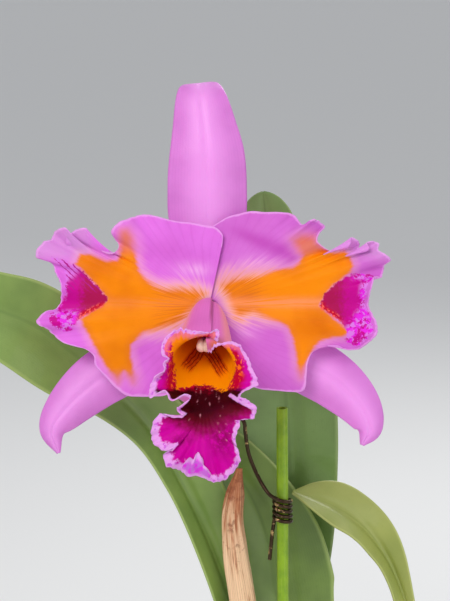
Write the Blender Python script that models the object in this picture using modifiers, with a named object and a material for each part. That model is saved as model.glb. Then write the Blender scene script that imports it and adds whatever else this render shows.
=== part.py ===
"""A potted cattleya orchid with one open flower.

The plant stands in a plain clay pot filled with bark. Four pseudobulbs rise from a creeping
rhizome, each with one leathery leaf. The flower stem grows out of the dry sheath on the front
pseudobulb and is held by a stiff wire to a hollow green stake. Everything is drawn in
millimetres and put into the scene in metres, +Z up, with the origin under the middle of the pot.
"""

import math

import bmesh
import bpy
from mathutils import Vector, noise

MM = 0.001
# The space left between two pieces that rest on each other.
GAP = 0.3
# Edges that bend by more than this, in degrees, stay sharp.
SHARP_ANGLE = 50.0

# The pot and what fills it.
POT_HEIGHT = 100.0
POT_BASE_RADIUS = 40.0
POT_WALL = 4.5
POT_FLOOR = 6.0
POT_SIDES = 32
RIM_HEIGHT = 20.0
RIM_RADIUS = 59.5
RIM_STEP = 4.0
RIM_EDGE = 1.2
RIM_TAPER = 1.0
FOOT_EDGE = 1.5
# The inner wall's radius and height where it meets the rim's rounded top.
INNER_TOP_RADIUS = RIM_RADIUS - POT_WALL - 0.8
INNER_TOP_HEIGHT = POT_HEIGHT - RIM_TAPER
DRAIN_RADIUS = 4.0
DRAIN_CIRCLE = 22.0
DRAIN_COUNT = 4
DRAIN_FIRST = 45.0
DRAIN_SIDES = 10
# How far a cutter reaches past the faces that it opens.
CUT_MARGIN = 2.0
BARK_TOP = 86.0
BARK_RELIEF = 3.0
BARK_CHIP = 11.0
BARK_CELLS = 16
CHIP_STRETCH = 1.5
CHIP_SEAM = 0.3
BARK_EDGE = 7.0
STAKE_HOLE_DEPTH = 40.0

# The rhizome creeps over the bark; the bases of the pseudobulbs sit on it.
RHIZOME_RADIUS = 5.0
RHIZOME_TIPS = (3.2, 3.6)
RHIZOME_ROUTE = [(-27, -9), (-14, -3), (4, 6), (16, 20), (34, 9), (46, 4)]
RHIZOME_BED = (2.0, 7.0)
ROOT_RADIUS = 1.5
ROOT_TIP_SHARE = 0.6
ROOT_STRIDE = 6.5
ROOT_STRIDES = 6
ROOT_WANDER = 32.0
ROOT_REACH = 47.0
ROOT_TURN_BACK = 5.0
ROOT_TURN_STRIDE = 0.55
# Where each root leaves the rhizome, right and back, and its heading in degrees.
ROOT_STARTS = [
    (-20, -6, -160), (-14, -3, -75), (-6, 1, 115), (4, 6, -50), (12, 15, 150), (22, 16, 40),
    (34, 9, -35), (42, 6, 60),
]
BULB_BASE = BARK_TOP + GAP + 2 * RHIZOME_RADIUS + GAP
BULB_FURROWS = 7
BULB_FURROW_DEPTH = 0.05

# The flower faces the viewer: its own axes are right, up and outwards from this centre.
FLOWER_CENTRE = (-35.0, -42.0, 370.0)
FLOWER_TILT = 12.0
TEPAL_THICKNESS = 0.7
LIP_THICKNESS = 0.6
SHEATH_THICKNESS = 0.6
LEAF_THICKNESS = 1.6
# How far behind the flower's centre the stem ends, and its last two bends before that.
STEM_SEAT = 5.4
STEM_BENDS = (21.0, 10.0)

# A leaf's rows of points crowd towards its tip. A blunt tip keeps this share of the width,
# squared, and the keel rises within this share of the half width from the midrib.
LEAF_CROWDING = 1.25
LEAF_TIP_LEAST = 0.002
KEEL_REACH = 0.35

# A petal starts on a short claw and lies on an arched sheet, whose long axis leans this many
# degrees from straight up. Its midrib is a groove, and its outer margin is frilled.
PETAL_CLAW = 3.0
PETAL_LEAN = 88.0
PETAL_SWELL = 0.5
PETAL_RISE = 0.17
PETAL_DROOP = 0.0022
PETAL_SAG = 0.0012
MIDRIB_DEPTH = 1.6
MIDRIB_WIDTH = 5.0
FRILL_SHARE = 0.7
FRILL_HEIGHT = 2.4
FRILL_ROWS = 5.3
PETAL_CALM = 4

# The support.
STAKE_RADIUS = 2.6
STAKE_BORE = 1.6
STAKE_BORE_DEPTH = 12.0
STAKE_SIDES = 14
STAKE_FOOT = (0.6, -14.0, 40.0)
STAKE_TOP = (-2.4, -14.0, 317.0)
WIRE_RADIUS = 0.8
HOOK_CENTRE = (-25.8, -2.1, 306.0)
HOOK_RADIUS = 2.1 + GAP + WIRE_RADIUS
HOOK_TURN = 24.0
HOOK_STEPS = 12
HOOK_START = -60.0
HOOK_DROP = 1.5
HOOK_CLIMB = 0.3
COIL_TOP = 274.5
COIL_START = -120.0
COIL_TURNS = 4.8
COIL_STEPS = 10
COIL_RADIUS = 4.1
COIL_WOBBLE = 0.12
COIL_PITCH = 2.4
COIL_SLANT = 0.22

# Each petal's margin: the ray it lies on, in degrees from straight up and turning outwards,
# then the point itself, right and up from the flower's centre.
LEFT_PETAL_MARGIN = [
    (-12.5, 5.5, 26), (-11, 6, 30), (-9, 5, 32), (-4, 2.5, 34), (4, -2.5, 35), (14, -8, 36),
    (23, -13.5, 36.5), (30, -18.5, 37.5), (37, -24, 39), (43, -28.5, 39.5), (47, -32, 38.5),
    (50, -36, 37), (53, -40, 35), (55, -42, 32), (56, -40.5, 29), (57, -39, 26.5),
    (58, -39.5, 24), (59, -41.5, 22.5), (60, -45, 23), (61, -48.5, 25.5), (62, -51.5, 27.5),
    (63, -52.5, 31), (64, -53, 33.5), (65, -56.5, 33), (66, -60, 30.5), (67, -61.5, 27.5),
    (68, -61, 30.5), (69, -61.5, 33.5), (70, -65, 33), (71, -67, 31.5), (72, -68.5, 28.5),
    (73, -71.5, 27.5), (75, -74, 24), (77, -74.5, 21), (78.5, -70.5, 20), (80, -67.5, 18),
    (82, -66, 14), (85, -64, 10.5), (88, -63.5, 6.5), (91, -64, 2), (93.5, -66.5, -1.5),
    (95.5, -70.5, -2.5), (97.5, -74, -6), (99.5, -73.5, -8), (101.5, -70, -9.5),
    (104, -67.5, -12), (107, -63.5, -15.5), (110, -58.5, -17), (114, -53, -18.5),
    (118, -49.5, -21.5), (122, -49, -25.5), (127, -45, -30), (133, -41, -34.5),
    (139, -35.5, -38.5), (145, -29.5, -39), (150, -24.5, -39), (155, -19, -38.5),
    (160, -13.5, -36), (164, -9, -31), (167, -6, -22.5),
]
RIGHT_PETAL_MARGIN = [
    (-9, -4.5, 31), (-3, -1.5, 33), (4, 3, 35.5), (11, 8, 38.5), (18, 13.5, 40), (24, 18.5, 41),
    (30, 24, 40.5), (35, 30, 40.5), (39, 35, 40), (42, 37.5, 38.5), (45, 39.5, 35.5),
    (47, 41.5, 35), (49, 44, 37), (51, 46.5, 37), (53, 49, 35.5), (54.5, 50, 34),
    (55.5, 47.5, 31.5), (56.5, 46.5, 28), (58, 48.5, 26), (60, 51.5, 24), (62, 55, 23),
    (64, 59, 24.5), (65.5, 61, 27), (66.5, 61.5, 29.5), (67.5, 64.5, 28), (68.5, 65, 26),
    (69.5, 64.5, 24), (70.5, 67.5, 23.5), (71.5, 69, 25), (72.5, 68, 27), (73.5, 70.5, 28),
    (74.5, 73.5, 27), (75.5, 73, 24), (76.5, 75.5, 22.5), (77.5, 78.5, 20), (78.5, 76, 18),
    (80, 75.5, 15.5), (82, 74.5, 12.5), (84, 71.5, 12.5), (86.5, 70, 7.5), (89.5, 69, 3),
    (92.5, 69.5, -1.5), (95.5, 71.5, -5.5), (98.5, 72.5, -9), (101.5, 72, -12.5),
    (104.5, 68.5, -16), (108, 65, -18.5), (111, 61.5, -19), (114, 58.5, -18.5), (118, 55.5, -17),
    (122, 51, -17), (126, 47.5, -18), (130, 44.5, -20), (134, 42.5, -24.5), (138.5, 42, -30),
    (143, 41.5, -35), (147, 39.5, -37), (151, 34.5, -37), (154.5, 29, -36.5), (158, 23, -36),
    (161, 18, -34.5), (164, 13.5, -32), (167, 8, -25),
]

# The lip's margin, once round from the top seam by the left: the bearing at which its ray leaves
# the tube's mouth, from straight down, then the point itself, right, up and outwards.
LIP_MARGIN = [
    (-192, 3.5, -14.5, 31), (-188, 4.5, -12, 32.5), (-182, 3.5, -9.5, 33), (-176, 1, -11, 32),
    (-168, -2.5, -10.5, 33), (-158, -6, -10, 32), (-148, -9.5, -9.5, 33), (-138, -13, -9.5, 32),
    (-129, -17, -12, 33), (-121, -19, -15.5, 32.5), (-114, -19, -20, 34),
    (-108, -16, -21.5, 35.5), (-101, -18.5, -23, 34.5), (-94, -18, -26.5, 36),
    (-87, -21.5, -28.5, 37), (-80, -24, -33.5, 36), (-72, -24, -37.5, 38),
    (-64, -20.5, -35.5, 40), (-57, -17.5, -34.5, 41), (-50, -15, -38.5, 42),
    (-42, -10, -36, 43.5), (-34, -7, -37, 43.5), (-27, -11, -40.5, 41.5), (-22, -13, -42, 39.5),
    (-18, -10.5, -45.5, 39), (-17, -15.5, -45, 40.5), (-16, -20, -44, 39), (-15, -23, -49.5, 41),
    (-14, -23, -55, 38.5), (-12.5, -19, -58.5, 41), (-11, -14.5, -58.5, 42),
    (-9.5, -18.5, -61, 38), (-8, -16.5, -65.5, 40), (-6, -11.5, -67, 37), (-4, -8, -69, 40.5),
    (-2, -4.5, -68.5, 37.5), (0, 0, -71, 39.5), (3, 4.5, -72, 36.5), (6, 9, -69, 39),
    (8, 12.5, -65, 36.5), (10, 12.5, -59.5, 39.5), (12, 11, -55.5, 38), (14, 12.5, -50, 40),
    (17, 13.5, -46, 39), (22, 16.5, -43, 42), (30, 19, -41, 40.5), (40, 17.5, -37, 42.5),
    (52, 15, -35, 40), (64, 19.5, -31.5, 38.5), (78, 19, -27.5, 36), (92, 17, -22.5, 35.5),
    (106, 14.5, -18, 33.5), (122, 11.5, -15, 33.5), (138, 8, -14.5, 32), (152, 4.5, -16, 31),
    (166, 2, -18, 29), (176, 0, -19.5, 27.5),
]
LIP_MOUTH = (-2.0, -26.5, 30.0)
LIP_MOUTH_RADIUS = 13.6
LIP_FOOT = (0.0, -2.4, -0.6)
LIP_FOOT_RADIUS = 4.6
LIP_TUBE_SHARE = 0.5
LIP_TUBE_SWELL = 0.55
LIP_NECK = (-1.5, -52.0, 46.0)
LIP_NECK_REACH = 0.55
LIP_KICK = 0.45
LIP_KICK_OUT = 0.25
LIP_KICK_WAY = (0.0, -0.3, 1.0)
# The bearings between which the front lobe's long neck gives way to the sides' short kick.
LIP_NECK_SIDES = (18.0, 60.0)
LIP_LAP = 0.65


def material(name, colour, roughness, metallic=0.0):
    """A plain surface in one colour."""
    made = bpy.data.materials.new(name)
    made.use_nodes = True
    shader = made.node_tree.nodes["Principled BSDF"]
    shader.inputs["Base Color"].default_value = (*colour, 1.0)
    shader.inputs["Roughness"].default_value = roughness
    shader.inputs["Metallic"].default_value = metallic
    return made


def remove_scene_objects():
    for thing in list(bpy.data.objects):
        bpy.data.objects.remove(thing, do_unlink=True)


def new_collection(name):
    made = bpy.data.collections.new(name)
    bpy.context.scene.collection.children.link(made)
    return made


def blend(points, share):
    """The value at share (0 to 1) along a smooth curve through evenly spaced points."""
    place = min(max(share, 0.0), 1.0) * (len(points) - 1)
    k = min(int(place), len(points) - 2)
    f = place - k
    b, c = points[k], points[k + 1]
    a = points[k - 1] if k > 0 else b + (b - c)
    d = points[k + 2] if k + 2 < len(points) else c + (c - b)
    bend = 2.0 * a - 5.0 * b + 4.0 * c - d
    return 0.5 * (2.0 * b + (c - a) * f + bend * f * f + (3.0 * (b - c) + d - a) * f * f * f)


def ramp(x, low, high):
    """0 below low, 1 above high, and a smooth rise between them."""
    f = min(max((x - low) / (high - low), 0.0), 1.0)
    return f * f * (3.0 - 2.0 * f)


def vectors(points):
    return [Vector(p) for p in points]


def add_object(name, bm, finish, home, parent=None):
    """Turn a bmesh in millimetres into a named object in metres."""
    bmesh.ops.scale(bm, vec=(MM, MM, MM), verts=bm.verts)
    mesh = bpy.data.meshes.new(name)
    bm.to_mesh(mesh)
    bm.free()
    mesh.shade_smooth()
    mesh.set_sharp_from_angle(angle=math.radians(SHARP_ANGLE))
    mesh.materials.append(finish)
    made = bpy.data.objects.new(name, mesh)
    home.objects.link(made)
    made.parent = parent
    return made


def blade(name, along, across, place, thickness, finish, home, parent=None):
    """A thin sheet: a grid whose points place(s, t) puts in space, both from 0 to 1."""
    bm = bmesh.new()
    bmesh.ops.create_grid(bm, x_segments=along, y_segments=across, size=0.5)
    for vertex in bm.verts:
        vertex.co = place(vertex.co.x + 0.5, vertex.co.y + 0.5)
    bmesh.ops.triangulate(bm, faces=bm.faces, quad_method="FIXED")
    bmesh.ops.recalc_face_normals(bm, faces=bm.faces)
    made = add_object(name, bm, finish, home, parent)
    wall = made.modifiers.new("Thickness", "SOLIDIFY")
    wall.thickness = thickness * MM
    wall.offset = 0.0
    return made


def rod_mesh(route, radii, sides, rings, furrows=0, furrow_depth=0.0, level=False):
    """A solid stem along a route, with flat ends, square to the route or level."""
    bm = bmesh.new()
    bmesh.ops.create_uvsphere(bm, u_segments=sides, v_segments=rings + 1, radius=1.0)
    for vertex in bm.verts:
        height = min(max(vertex.co.z, -1.0), 1.0)
        ring = round((math.pi - math.acos(height)) * (rings + 1) / math.pi)
        share = min(max((ring - 1) / (rings - 1), 0.0), 1.0)
        middle = blend(route, share)
        ahead = (blend(route, share + 0.01) - blend(route, share - 0.01)).normalized()
        guide = Vector((1, 0, 0)) if abs(ahead.x) < 0.8 else Vector((0, 0, 1))
        first = Vector((1, 0, 0)) if level else ahead.cross(guide).normalized()
        second = Vector((0, 1, 0)) if level else ahead.cross(first)
        turn = math.atan2(vertex.co.y, vertex.co.x)
        on_axis = ring in (0, rings + 1)
        radius = 0.0 if on_axis else blend(radii, share)
        radius *= 1.0 + furrow_depth * math.cos(furrows * turn)
        vertex.co = middle + first * radius * math.cos(turn) + second * radius * math.sin(turn)
    bmesh.ops.recalc_face_normals(bm, faces=bm.faces)
    return bm


def turned(name, profile, steps, finish, home):
    """A turned piece from an outline of (radius, height) points, outer side first."""
    bm = bmesh.new()
    corners = [bm.verts.new((radius * MM, 0.0, height * MM)) for radius, height in profile]
    for first, second in zip(corners, corners[1:]):
        bm.edges.new((first, second))
    mesh = bpy.data.meshes.new(name)
    bm.to_mesh(mesh)
    bm.free()
    mesh.materials.append(finish)
    made = bpy.data.objects.new(name, mesh)
    home.objects.link(made)
    spin = made.modifiers.new("Turn", "SCREW")
    spin.axis = "Z"
    spin.steps = steps
    spin.render_steps = steps
    spin.use_merge_vertices = True
    spin.merge_threshold = 0.00005
    spin.use_smooth_shade = False
    return made


def cutter(name, radius, length, sides, middle, home, axis=Vector((0, 0, 1))):
    """A hidden round post along an axis, which a Boolean takes away."""
    bm = bmesh.new()
    bmesh.ops.create_cone(
        bm, cap_ends=True, segments=sides, radius1=radius * MM, radius2=radius * MM,
        depth=length * MM,
    )
    mesh = bpy.data.meshes.new(name)
    bm.to_mesh(mesh)
    bm.free()
    made = bpy.data.objects.new(name, mesh)
    made.location = middle * MM
    made.rotation_euler = axis.to_track_quat("Z", "Y").to_euler()
    made.hide_render = True
    made.display_type = "WIRE"
    home.objects.link(made)
    return made


def cut(piece, tool):
    hole = piece.modifiers.new("Hole", "BOOLEAN")
    hole.operation = "DIFFERENCE"
    hole.object = tool
    hole.solver = "EXACT"


def inner_radius(height):
    """The pot's inner radius at a height."""
    foot = POT_BASE_RADIUS - POT_WALL
    share = (height - POT_FLOOR) / (INNER_TOP_HEIGHT - POT_FLOOR)
    return foot + (INNER_TOP_RADIUS - foot) * share


def make_pot(home, tools):
    """A plain clay pot: tapered wall, stepped rim band and four drainage holes."""
    clay = material("clay", (0.50, 0.22, 0.12), 0.85)
    shoulder = POT_HEIGHT - RIM_HEIGHT
    band_foot = RIM_RADIUS - RIM_EDGE
    outside = [
        (RIM_RADIUS - RIM_EDGE, POT_HEIGHT), (RIM_RADIUS, POT_HEIGHT - RIM_EDGE),
        (band_foot, shoulder + RIM_TAPER), (band_foot - RIM_TAPER, shoulder),
        (RIM_RADIUS - RIM_STEP - RIM_TAPER, shoulder), (POT_BASE_RADIUS, FOOT_EDGE),
        (POT_BASE_RADIUS - FOOT_EDGE, 0.0), (0.0, 0.0),
    ]
    inside = [
        (0.0, POT_FLOOR), (inner_radius(POT_FLOOR), POT_FLOOR),
        (INNER_TOP_RADIUS, INNER_TOP_HEIGHT), (INNER_TOP_RADIUS + RIM_TAPER, POT_HEIGHT),
    ]
    pot = turned("pot", outside + inside + outside[:1], POT_SIDES, clay, home)
    for k in range(DRAIN_COUNT):
        turn = math.radians(DRAIN_FIRST + 360 / DRAIN_COUNT * k)
        middle = Vector((math.cos(turn), math.sin(turn), 0.0)) * DRAIN_CIRCLE
        middle.z = POT_FLOOR / 2
        length = POT_FLOOR + 2 * CUT_MARGIN
        cut(pot, cutter(f"drain_{k + 1}", DRAIN_RADIUS, length, DRAIN_SIDES, middle, tools))


def distance_to_route(x, y, route):
    """How far a point on the bark lies from a route of (x, y) points."""
    here = Vector((x, y))
    best = 1000.0
    for first, second in zip(route, route[1:]):
        a, b = Vector(first), Vector(second)
        f = min(max((here - a).dot(b - a) / (b - a).length_squared, 0.0), 1.0)
        best = min(best, (here - a - (b - a) * f).length)
    return best


def bark_height(x, y):
    """The bark's chips as a relief, flat under the rhizome."""
    distances, middles = noise.voronoi(Vector((x, y * CHIP_STRETCH, 0.0)) / BARK_CHIP)
    chip = noise.noise(middles[0] * 7.3) * 0.5 + 0.5
    seam = ramp(distances[1] - distances[0], 0.0, CHIP_SEAM)
    beside = distance_to_route(x, y, RHIZOME_ROUTE) - RHIZOME_RADIUS
    clear = ramp(beside, *RHIZOME_BED)
    inward = inner_radius(BARK_TOP) - math.hypot(x, y)
    edge = ramp(inward, 0.0, BARK_EDGE)
    return BARK_TOP + BARK_RELIEF * chip * seam * clear * edge


def stake_line():
    """The stake's foot, and the way that it leans."""
    foot = Vector(STAKE_FOOT)
    return foot, (Vector(STAKE_TOP) - foot).normalized()


def make_bark(home, tools):
    """The bark filling, one plug with a rough top and a plain hole for the stake."""
    brown = material("bark", (0.16, 0.09, 0.05), 0.95)
    top_radius = inner_radius(BARK_TOP) - GAP
    foot_radius = inner_radius(POT_FLOOR) - GAP
    bm = bmesh.new()
    bmesh.ops.create_grid(bm, x_segments=BARK_CELLS, y_segments=BARK_CELLS, size=1.0)
    for vertex in bm.verts:
        x, y = vertex.co.x, vertex.co.y
        disc_x = x * math.sqrt(1.0 - y * y / 2.0) * top_radius
        disc_y = y * math.sqrt(1.0 - x * x / 2.0) * top_radius
        vertex.co = (disc_x, disc_y, bark_height(disc_x, disc_y))
    rim = [edge for edge in bm.edges if edge.is_boundary]
    skirt = bmesh.ops.extrude_edge_only(bm, edges=rim)["geom"]
    lower = [item for item in skirt if isinstance(item, bmesh.types.BMVert)]
    shrink = foot_radius / top_radius
    for vertex in lower:
        vertex.co = (vertex.co.x * shrink, vertex.co.y * shrink, POT_FLOOR + GAP)
    loop = [item for item in skirt if isinstance(item, bmesh.types.BMEdge)]
    bmesh.ops.edgeloop_fill(bm, edges=[edge for edge in loop if edge.is_boundary])
    bmesh.ops.recalc_face_normals(bm, faces=bm.faces)
    bark = add_object("bark_filling", bm, brown, home)
    foot, lean = stake_line()
    middle = foot + lean * (STAKE_HOLE_DEPTH - GAP)
    radius, length = STAKE_RADIUS + GAP, 2 * STAKE_HOLE_DEPTH
    cut(bark, cutter("stake_hole", radius, length, 12, middle, tools, lean))


def make_rhizome(home):
    """The creeping rhizome with its roots, joined into one body."""
    skin = material("rhizome", (0.25, 0.22, 0.12), 0.7)
    level = BARK_TOP + GAP + RHIZOME_RADIUS
    route = vectors([(x, y, level) for x, y in RHIZOME_ROUTE])
    radii = [RHIZOME_TIPS[0]] + [RHIZOME_RADIUS] * (len(route) - 2) + [RHIZOME_TIPS[1]]
    stem = add_object("rhizome", rod_mesh(route, radii, 10, 16), skin, home)
    roots = new_collection("roots")
    root_level = BARK_TOP + BARK_RELIEF + GAP + ROOT_RADIUS
    for k, (x, y, heading) in enumerate(ROOT_STARTS):
        points = []
        place = Vector((x, y, root_level))
        for step in range(ROOT_STRIDES):
            points.append(place.copy())
            turn = math.radians(heading + ROOT_WANDER * math.sin(1.7 * step + k))
            stride = Vector((math.cos(turn), math.sin(turn), 0.0)) * ROOT_STRIDE
            if (place + stride).xy.length > ROOT_REACH:
                stride = (stride - place.normalized() * ROOT_TURN_BACK) * ROOT_TURN_STRIDE
            place = place + stride
            place.z = root_level
        girth = [ROOT_RADIUS] * (ROOT_STRIDES - 1) + [ROOT_RADIUS * ROOT_TIP_SHARE]
        root = add_object(f"root_{k + 1}", rod_mesh(points, girth, 6, 8), skin, roots)
        root.hide_render = True
        root.display_type = "WIRE"
    join = stem.modifiers.new("Join", "BOOLEAN")
    join.operation = "UNION"
    join.operand_type = "COLLECTION"
    join.collection = roots
    join.solver = "EXACT"


def make_pseudobulbs(home):
    """Four furrowed, spindle-shaped pseudobulbs with blunt tops."""
    green = material("pseudobulb", (0.24, 0.30, 0.10), 0.55)
    routes = [
        [(-17, -5, BULB_BASE), (-19, -5, 118), (-18, -3, 146), (-15, -1, 172)],
        [(5, 6, BULB_BASE), (8, 5, 116), (12, 6, 144), (16, 8, 169)],
        [(16, 20, BULB_BASE), (10, 24, 116), (6, 27, 144), (5, 28, 168)],
        [(35, 9, BULB_BASE), (43, 6, 122), (54, 5, 154), (63, 5, 184)],
    ]
    girths = [
        [4.5, 8.5, 8.0, 6.8], [4.0, 7.5, 7.0, 4.2], [4.0, 7.5, 7.0, 4.2], [4.0, 7.5, 7.0, 4.0],
    ]
    for k, (route, girth) in enumerate(zip(routes, girths)):
        bm = rod_mesh(vectors(route), girth, 14, 8, BULB_FURROWS, BULB_FURROW_DEPTH, level=True)
        add_object(f"pseudobulb_{k + 1}", bm, green, home)


def leaf_place(spine, low_side, high_side, facings, keels, blunt=1.0):
    """The point (s, t) of a leaf: s from base to tip, t across from one edge to the other.

    Past the share blunt of its length the leaf's outline closes in a half circle.
    """
    spine, facings = vectors(spine), vectors(facings)

    def place(s, t):
        s = 1.0 - (1.0 - s) ** LEAF_CROWDING
        across = 2.0 * t - 1.0
        middle = blend(spine, s)
        ahead = (blend(spine, s + 0.02) - blend(spine, s - 0.02)).normalized()
        facing = blend(facings, s)
        facing = (facing - ahead * facing.dot(ahead)).normalized()
        side = ahead.cross(facing)
        width = abs(across) * (blend(high_side, s) if across > 0 else blend(low_side, s))
        if s > blunt:
            past = (s - blunt) / (1.0 - blunt)
            width *= math.sqrt(max(1.0 - past**2, LEAF_TIP_LEAST))
        rise = math.radians(blend(keels, s)) * ramp(abs(across), 0.0, KEEL_REACH)
        way = math.copysign(1.0, across)
        return middle + side * width * way * math.cos(rise) + facing * width * math.sin(rise)

    return place


def make_leaves(home):
    """Four leathery leaves, keeled along the midrib."""
    green = material("leaf", (0.20, 0.30, 0.09), 0.45)
    leaves = {
        "leaf_left": leaf_place(
            [(-14, 4.6, 172.8), (-18, 5, 195), (-26, 5, 222), (-38, 4, 254), (-50, 2, 280),
             (-62, -1, 304), (-78, -4, 324), (-96, -7, 340), (-113, -10, 354),
             (-131, -11, 362), (-156, -12, 372), (-182, -12, 380)],
            [3.5, 6, 8, 10, 11, 13, 17, 22, 23, 20, 13, 0.6],
            [3.0, 8, 12, 16, 18, 18, 17, 18, 19, 17, 11, 0.6],
            [(0.0, -1.0, 0.1), (0.35, -0.9, 0.1), (0.45, -0.85, 0.17), (0.3, -0.9, 0.2),
             (0.05, -0.95, 0.3), (0.0, -0.95, 0.3), (0.0, -0.95, 0.2)],
            [3, 14, 30, 34, 28, 18, 12, 10, 8, 6],
        ),
        "leaf_back": leaf_place(
            [(5, 28, 168.6), (5, 28, 200), (5, 28, 235), (3, 27, 270), (1, 26, 305),
             (-3, 26, 340), (-7, 27, 375), (-10.5, 28, 409)],
            [3.2, 9, 14, 20, 24.5, 26.5, 25.5, 22.5, 20, 17.5, 14.5, 12],
            [3.2, 9, 14, 18, 21, 23, 24, 24, 22, 18, 14.5, 12],
            [(0.0, -1.0, 0.1), (0.1, -1.0, 0.0), (0.0, -1.0, 0.0)],
            [10, 14, 14, 12, 8], 0.93,
        ),
        "leaf_centre": leaf_place(
            [(16, 8, 171.2), (7, 11, 193), (-4, 13, 218), (-8, 14, 244), (-17, 15, 268),
             (-33, 16, 289), (-50, 16, 306), (-65, 16, 321)],
            [2.8, 9.5, 13, 14, 14, 14, 10, 0.8],
            [2.8, 19, 29, 26, 19, 14, 9, 0.8],
            [(0.0, -1.0, 0.1), (0.15, -1.0, 0.0), (0.1, -1.0, 0.1), (0.0, -1.0, 0.2)],
            [8, 16, 14, 12, 8],
        ),
        "leaf_right": leaf_place(
            [(63, 5, 184.6), (58.5, 5, 212), (51, 4, 233), (42, 3, 248), (33, 1.5, 258),
             (23, 0, 265), (13, -1.5, 270), (3, -2.5, 273.5)],
            [2.6, 6, 8, 11, 12.5, 12, 8, 0.8],
            [2.6, 5, 8, 11, 13, 13, 9, 0.8],
            [(-0.4, -0.7, 0.6), (-0.1, -0.65, 0.7), (0.15, -0.6, 0.75), (0.15, -0.6, 0.8)],
            [10, 40, 40, 24, 16, 12, 8],
        ),
    }
    for name, place in leaves.items():
        blade(name, 18, 6, place, LEAF_THICKNESS, green, home)


def make_flower_stem(home):
    """The stem and ovary: up through the sheath, then arching forward behind the flower."""
    green = material("flower_stem", (0.30, 0.38, 0.14), 0.5)
    out = Vector((0, -math.cos(math.radians(FLOWER_TILT)), math.sin(math.radians(FLOWER_TILT))))
    seat = Vector(FLOWER_CENTRE) - out * STEM_SEAT
    route = vectors([
        (-15.5, -3, 172.4), (-17.5, -3.5, 200), (-21, -4, 228), (-23.5, -4.5, 256),
        (-23.5, -4, 282), (-26, -2, 308), (-30, 1, 334), (-33.5, -2, 355),
    ]) + [seat - out * STEM_BENDS[0], seat - out * STEM_BENDS[1], seat]
    radii = [2.2, 2.1, 2.0, 2.0, 2.0, 2.1, 2.2, 2.4, 2.9, 3.8, 4.4]
    add_object("flower_stem", rod_mesh(route, radii, 10, 24), green, home)


def make_sheath(home):
    """The dry papery sheath: a slender boat round the foot of the stem, slit at the back."""
    straw = material("dry_sheath", (0.62, 0.40, 0.24), 0.8)
    middle = vectors([
        (-15.5, -3, 172.5), (-17.5, -3.5, 200), (-20, -4, 222), (-23, -4.5, 243),
        (-24.5, -5, 260), (-23.7, -5.5, 273), (-21.5, -8, 287),
    ])
    widths = [4.6, 5.4, 6.2, 5.6, 4.4, 3.2, 0.5]
    depths = [3.8, 4.4, 4.6, 4.2, 3.8, 3.2, 0.6]
    opening = [140, 145, 140, 125, 110, 90, 60]

    def place(s, t):
        turn = math.radians(blend(opening, s)) * (2.0 * t - 1.0)
        across = Vector((1, 0, 0)) * blend(widths, s) * math.sin(turn)
        forward = Vector((0, -1, 0)) * blend(depths, s) * math.cos(turn)
        return blend(middle, s) + across + forward

    blade("dry_sheath", 13, 6, place, SHEATH_THICKNESS, straw, home)


def strip_place(route, half_widths, roll):
    """A sepal's point (s, t): a strip along its midline whose margins roll back."""
    route = vectors(route)

    def place(s, t):
        across = 2.0 * t - 1.0
        middle = blend(route, s)
        ahead = blend(route, s + 0.02) - blend(route, s - 0.02)
        side = Vector((ahead.y, -ahead.x, 0.0)).normalized()
        width = blend(half_widths, s)
        back = blend(roll, s) * across * across
        return middle + side * width * across + Vector((0, 0, -back))

    return place


def make_sepals(home, flower):
    """The upper sepal and the two side sepals, in the flower's own axes."""
    pink = material("sepal", (0.75, 0.28, 0.70), 0.5)
    dorsal = strip_place(
        [(0, 3.2, -4.3), (-0.3, 19, -7.5), (-0.8, 36, -9.0), (-0.9, 52, -7.5), (-1.0, 66, -6.5),
         (-2.2, 79, -8.0), (-3.7, 91.5, -11.5), (-4.1, 97.3, -17.5), (-4.2, 98.4, -24.0)],
        [2.4, 10, 16.4, 17.2, 16.3, 13.8, 11.0, 8.0, 2.0],
        [0.1, 2.0, 4.0, 5.0, 5.0, 5.0, 3.0, 1.0, 0.2],
    )
    left = strip_place(
        [(-2.7, -2.0, -4.3), (-19, -13, -8.5), (-35, -24, -9.5), (-50, -33.5, -8),
         (-62, -44.5, -7), (-68, -54, -7), (-65.5, -64, -9)],
        [1.9, 8, 12.4, 12.0, 9.4, 5.8, 0.7],
        [0.1, 1.5, 3.0, 4.0, 4.0, 2.5, 0.2],
    )
    right = strip_place(
        [(2.7, -2.0, -4.3), (20, -13, -8.5), (38, -23, -9.5), (54, -32.5, -8),
         (65, -43, -7), (69.5, -53, -7), (66.5, -60.5, -9)],
        [1.9, 8, 12.4, 12.0, 9.6, 6.0, 0.7],
        [0.1, 1.5, 3.0, 4.0, 4.0, 2.5, 0.2],
    )
    blade("dorsal_sepal", 18, 8, dorsal, TEPAL_THICKNESS, pink, home, flower)
    blade("lateral_sepal_left", 15, 7, left, TEPAL_THICKNESS, pink, home, flower)
    blade("lateral_sepal_right", 15, 7, right, TEPAL_THICKNESS, pink, home, flower)


def calmed(rows, reach):
    """The same rows with each point averaged over its neighbours, so that small frills go."""
    calm = []
    last = len(rows) - 1
    for k in range(len(rows)):
        span = min(reach, k, last - k)
        near = rows[k - span:k + span + 1]
        calm.append(sum(near, Vector((0.0, 0.0, 0.0))) / len(near))
    return calm


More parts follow.
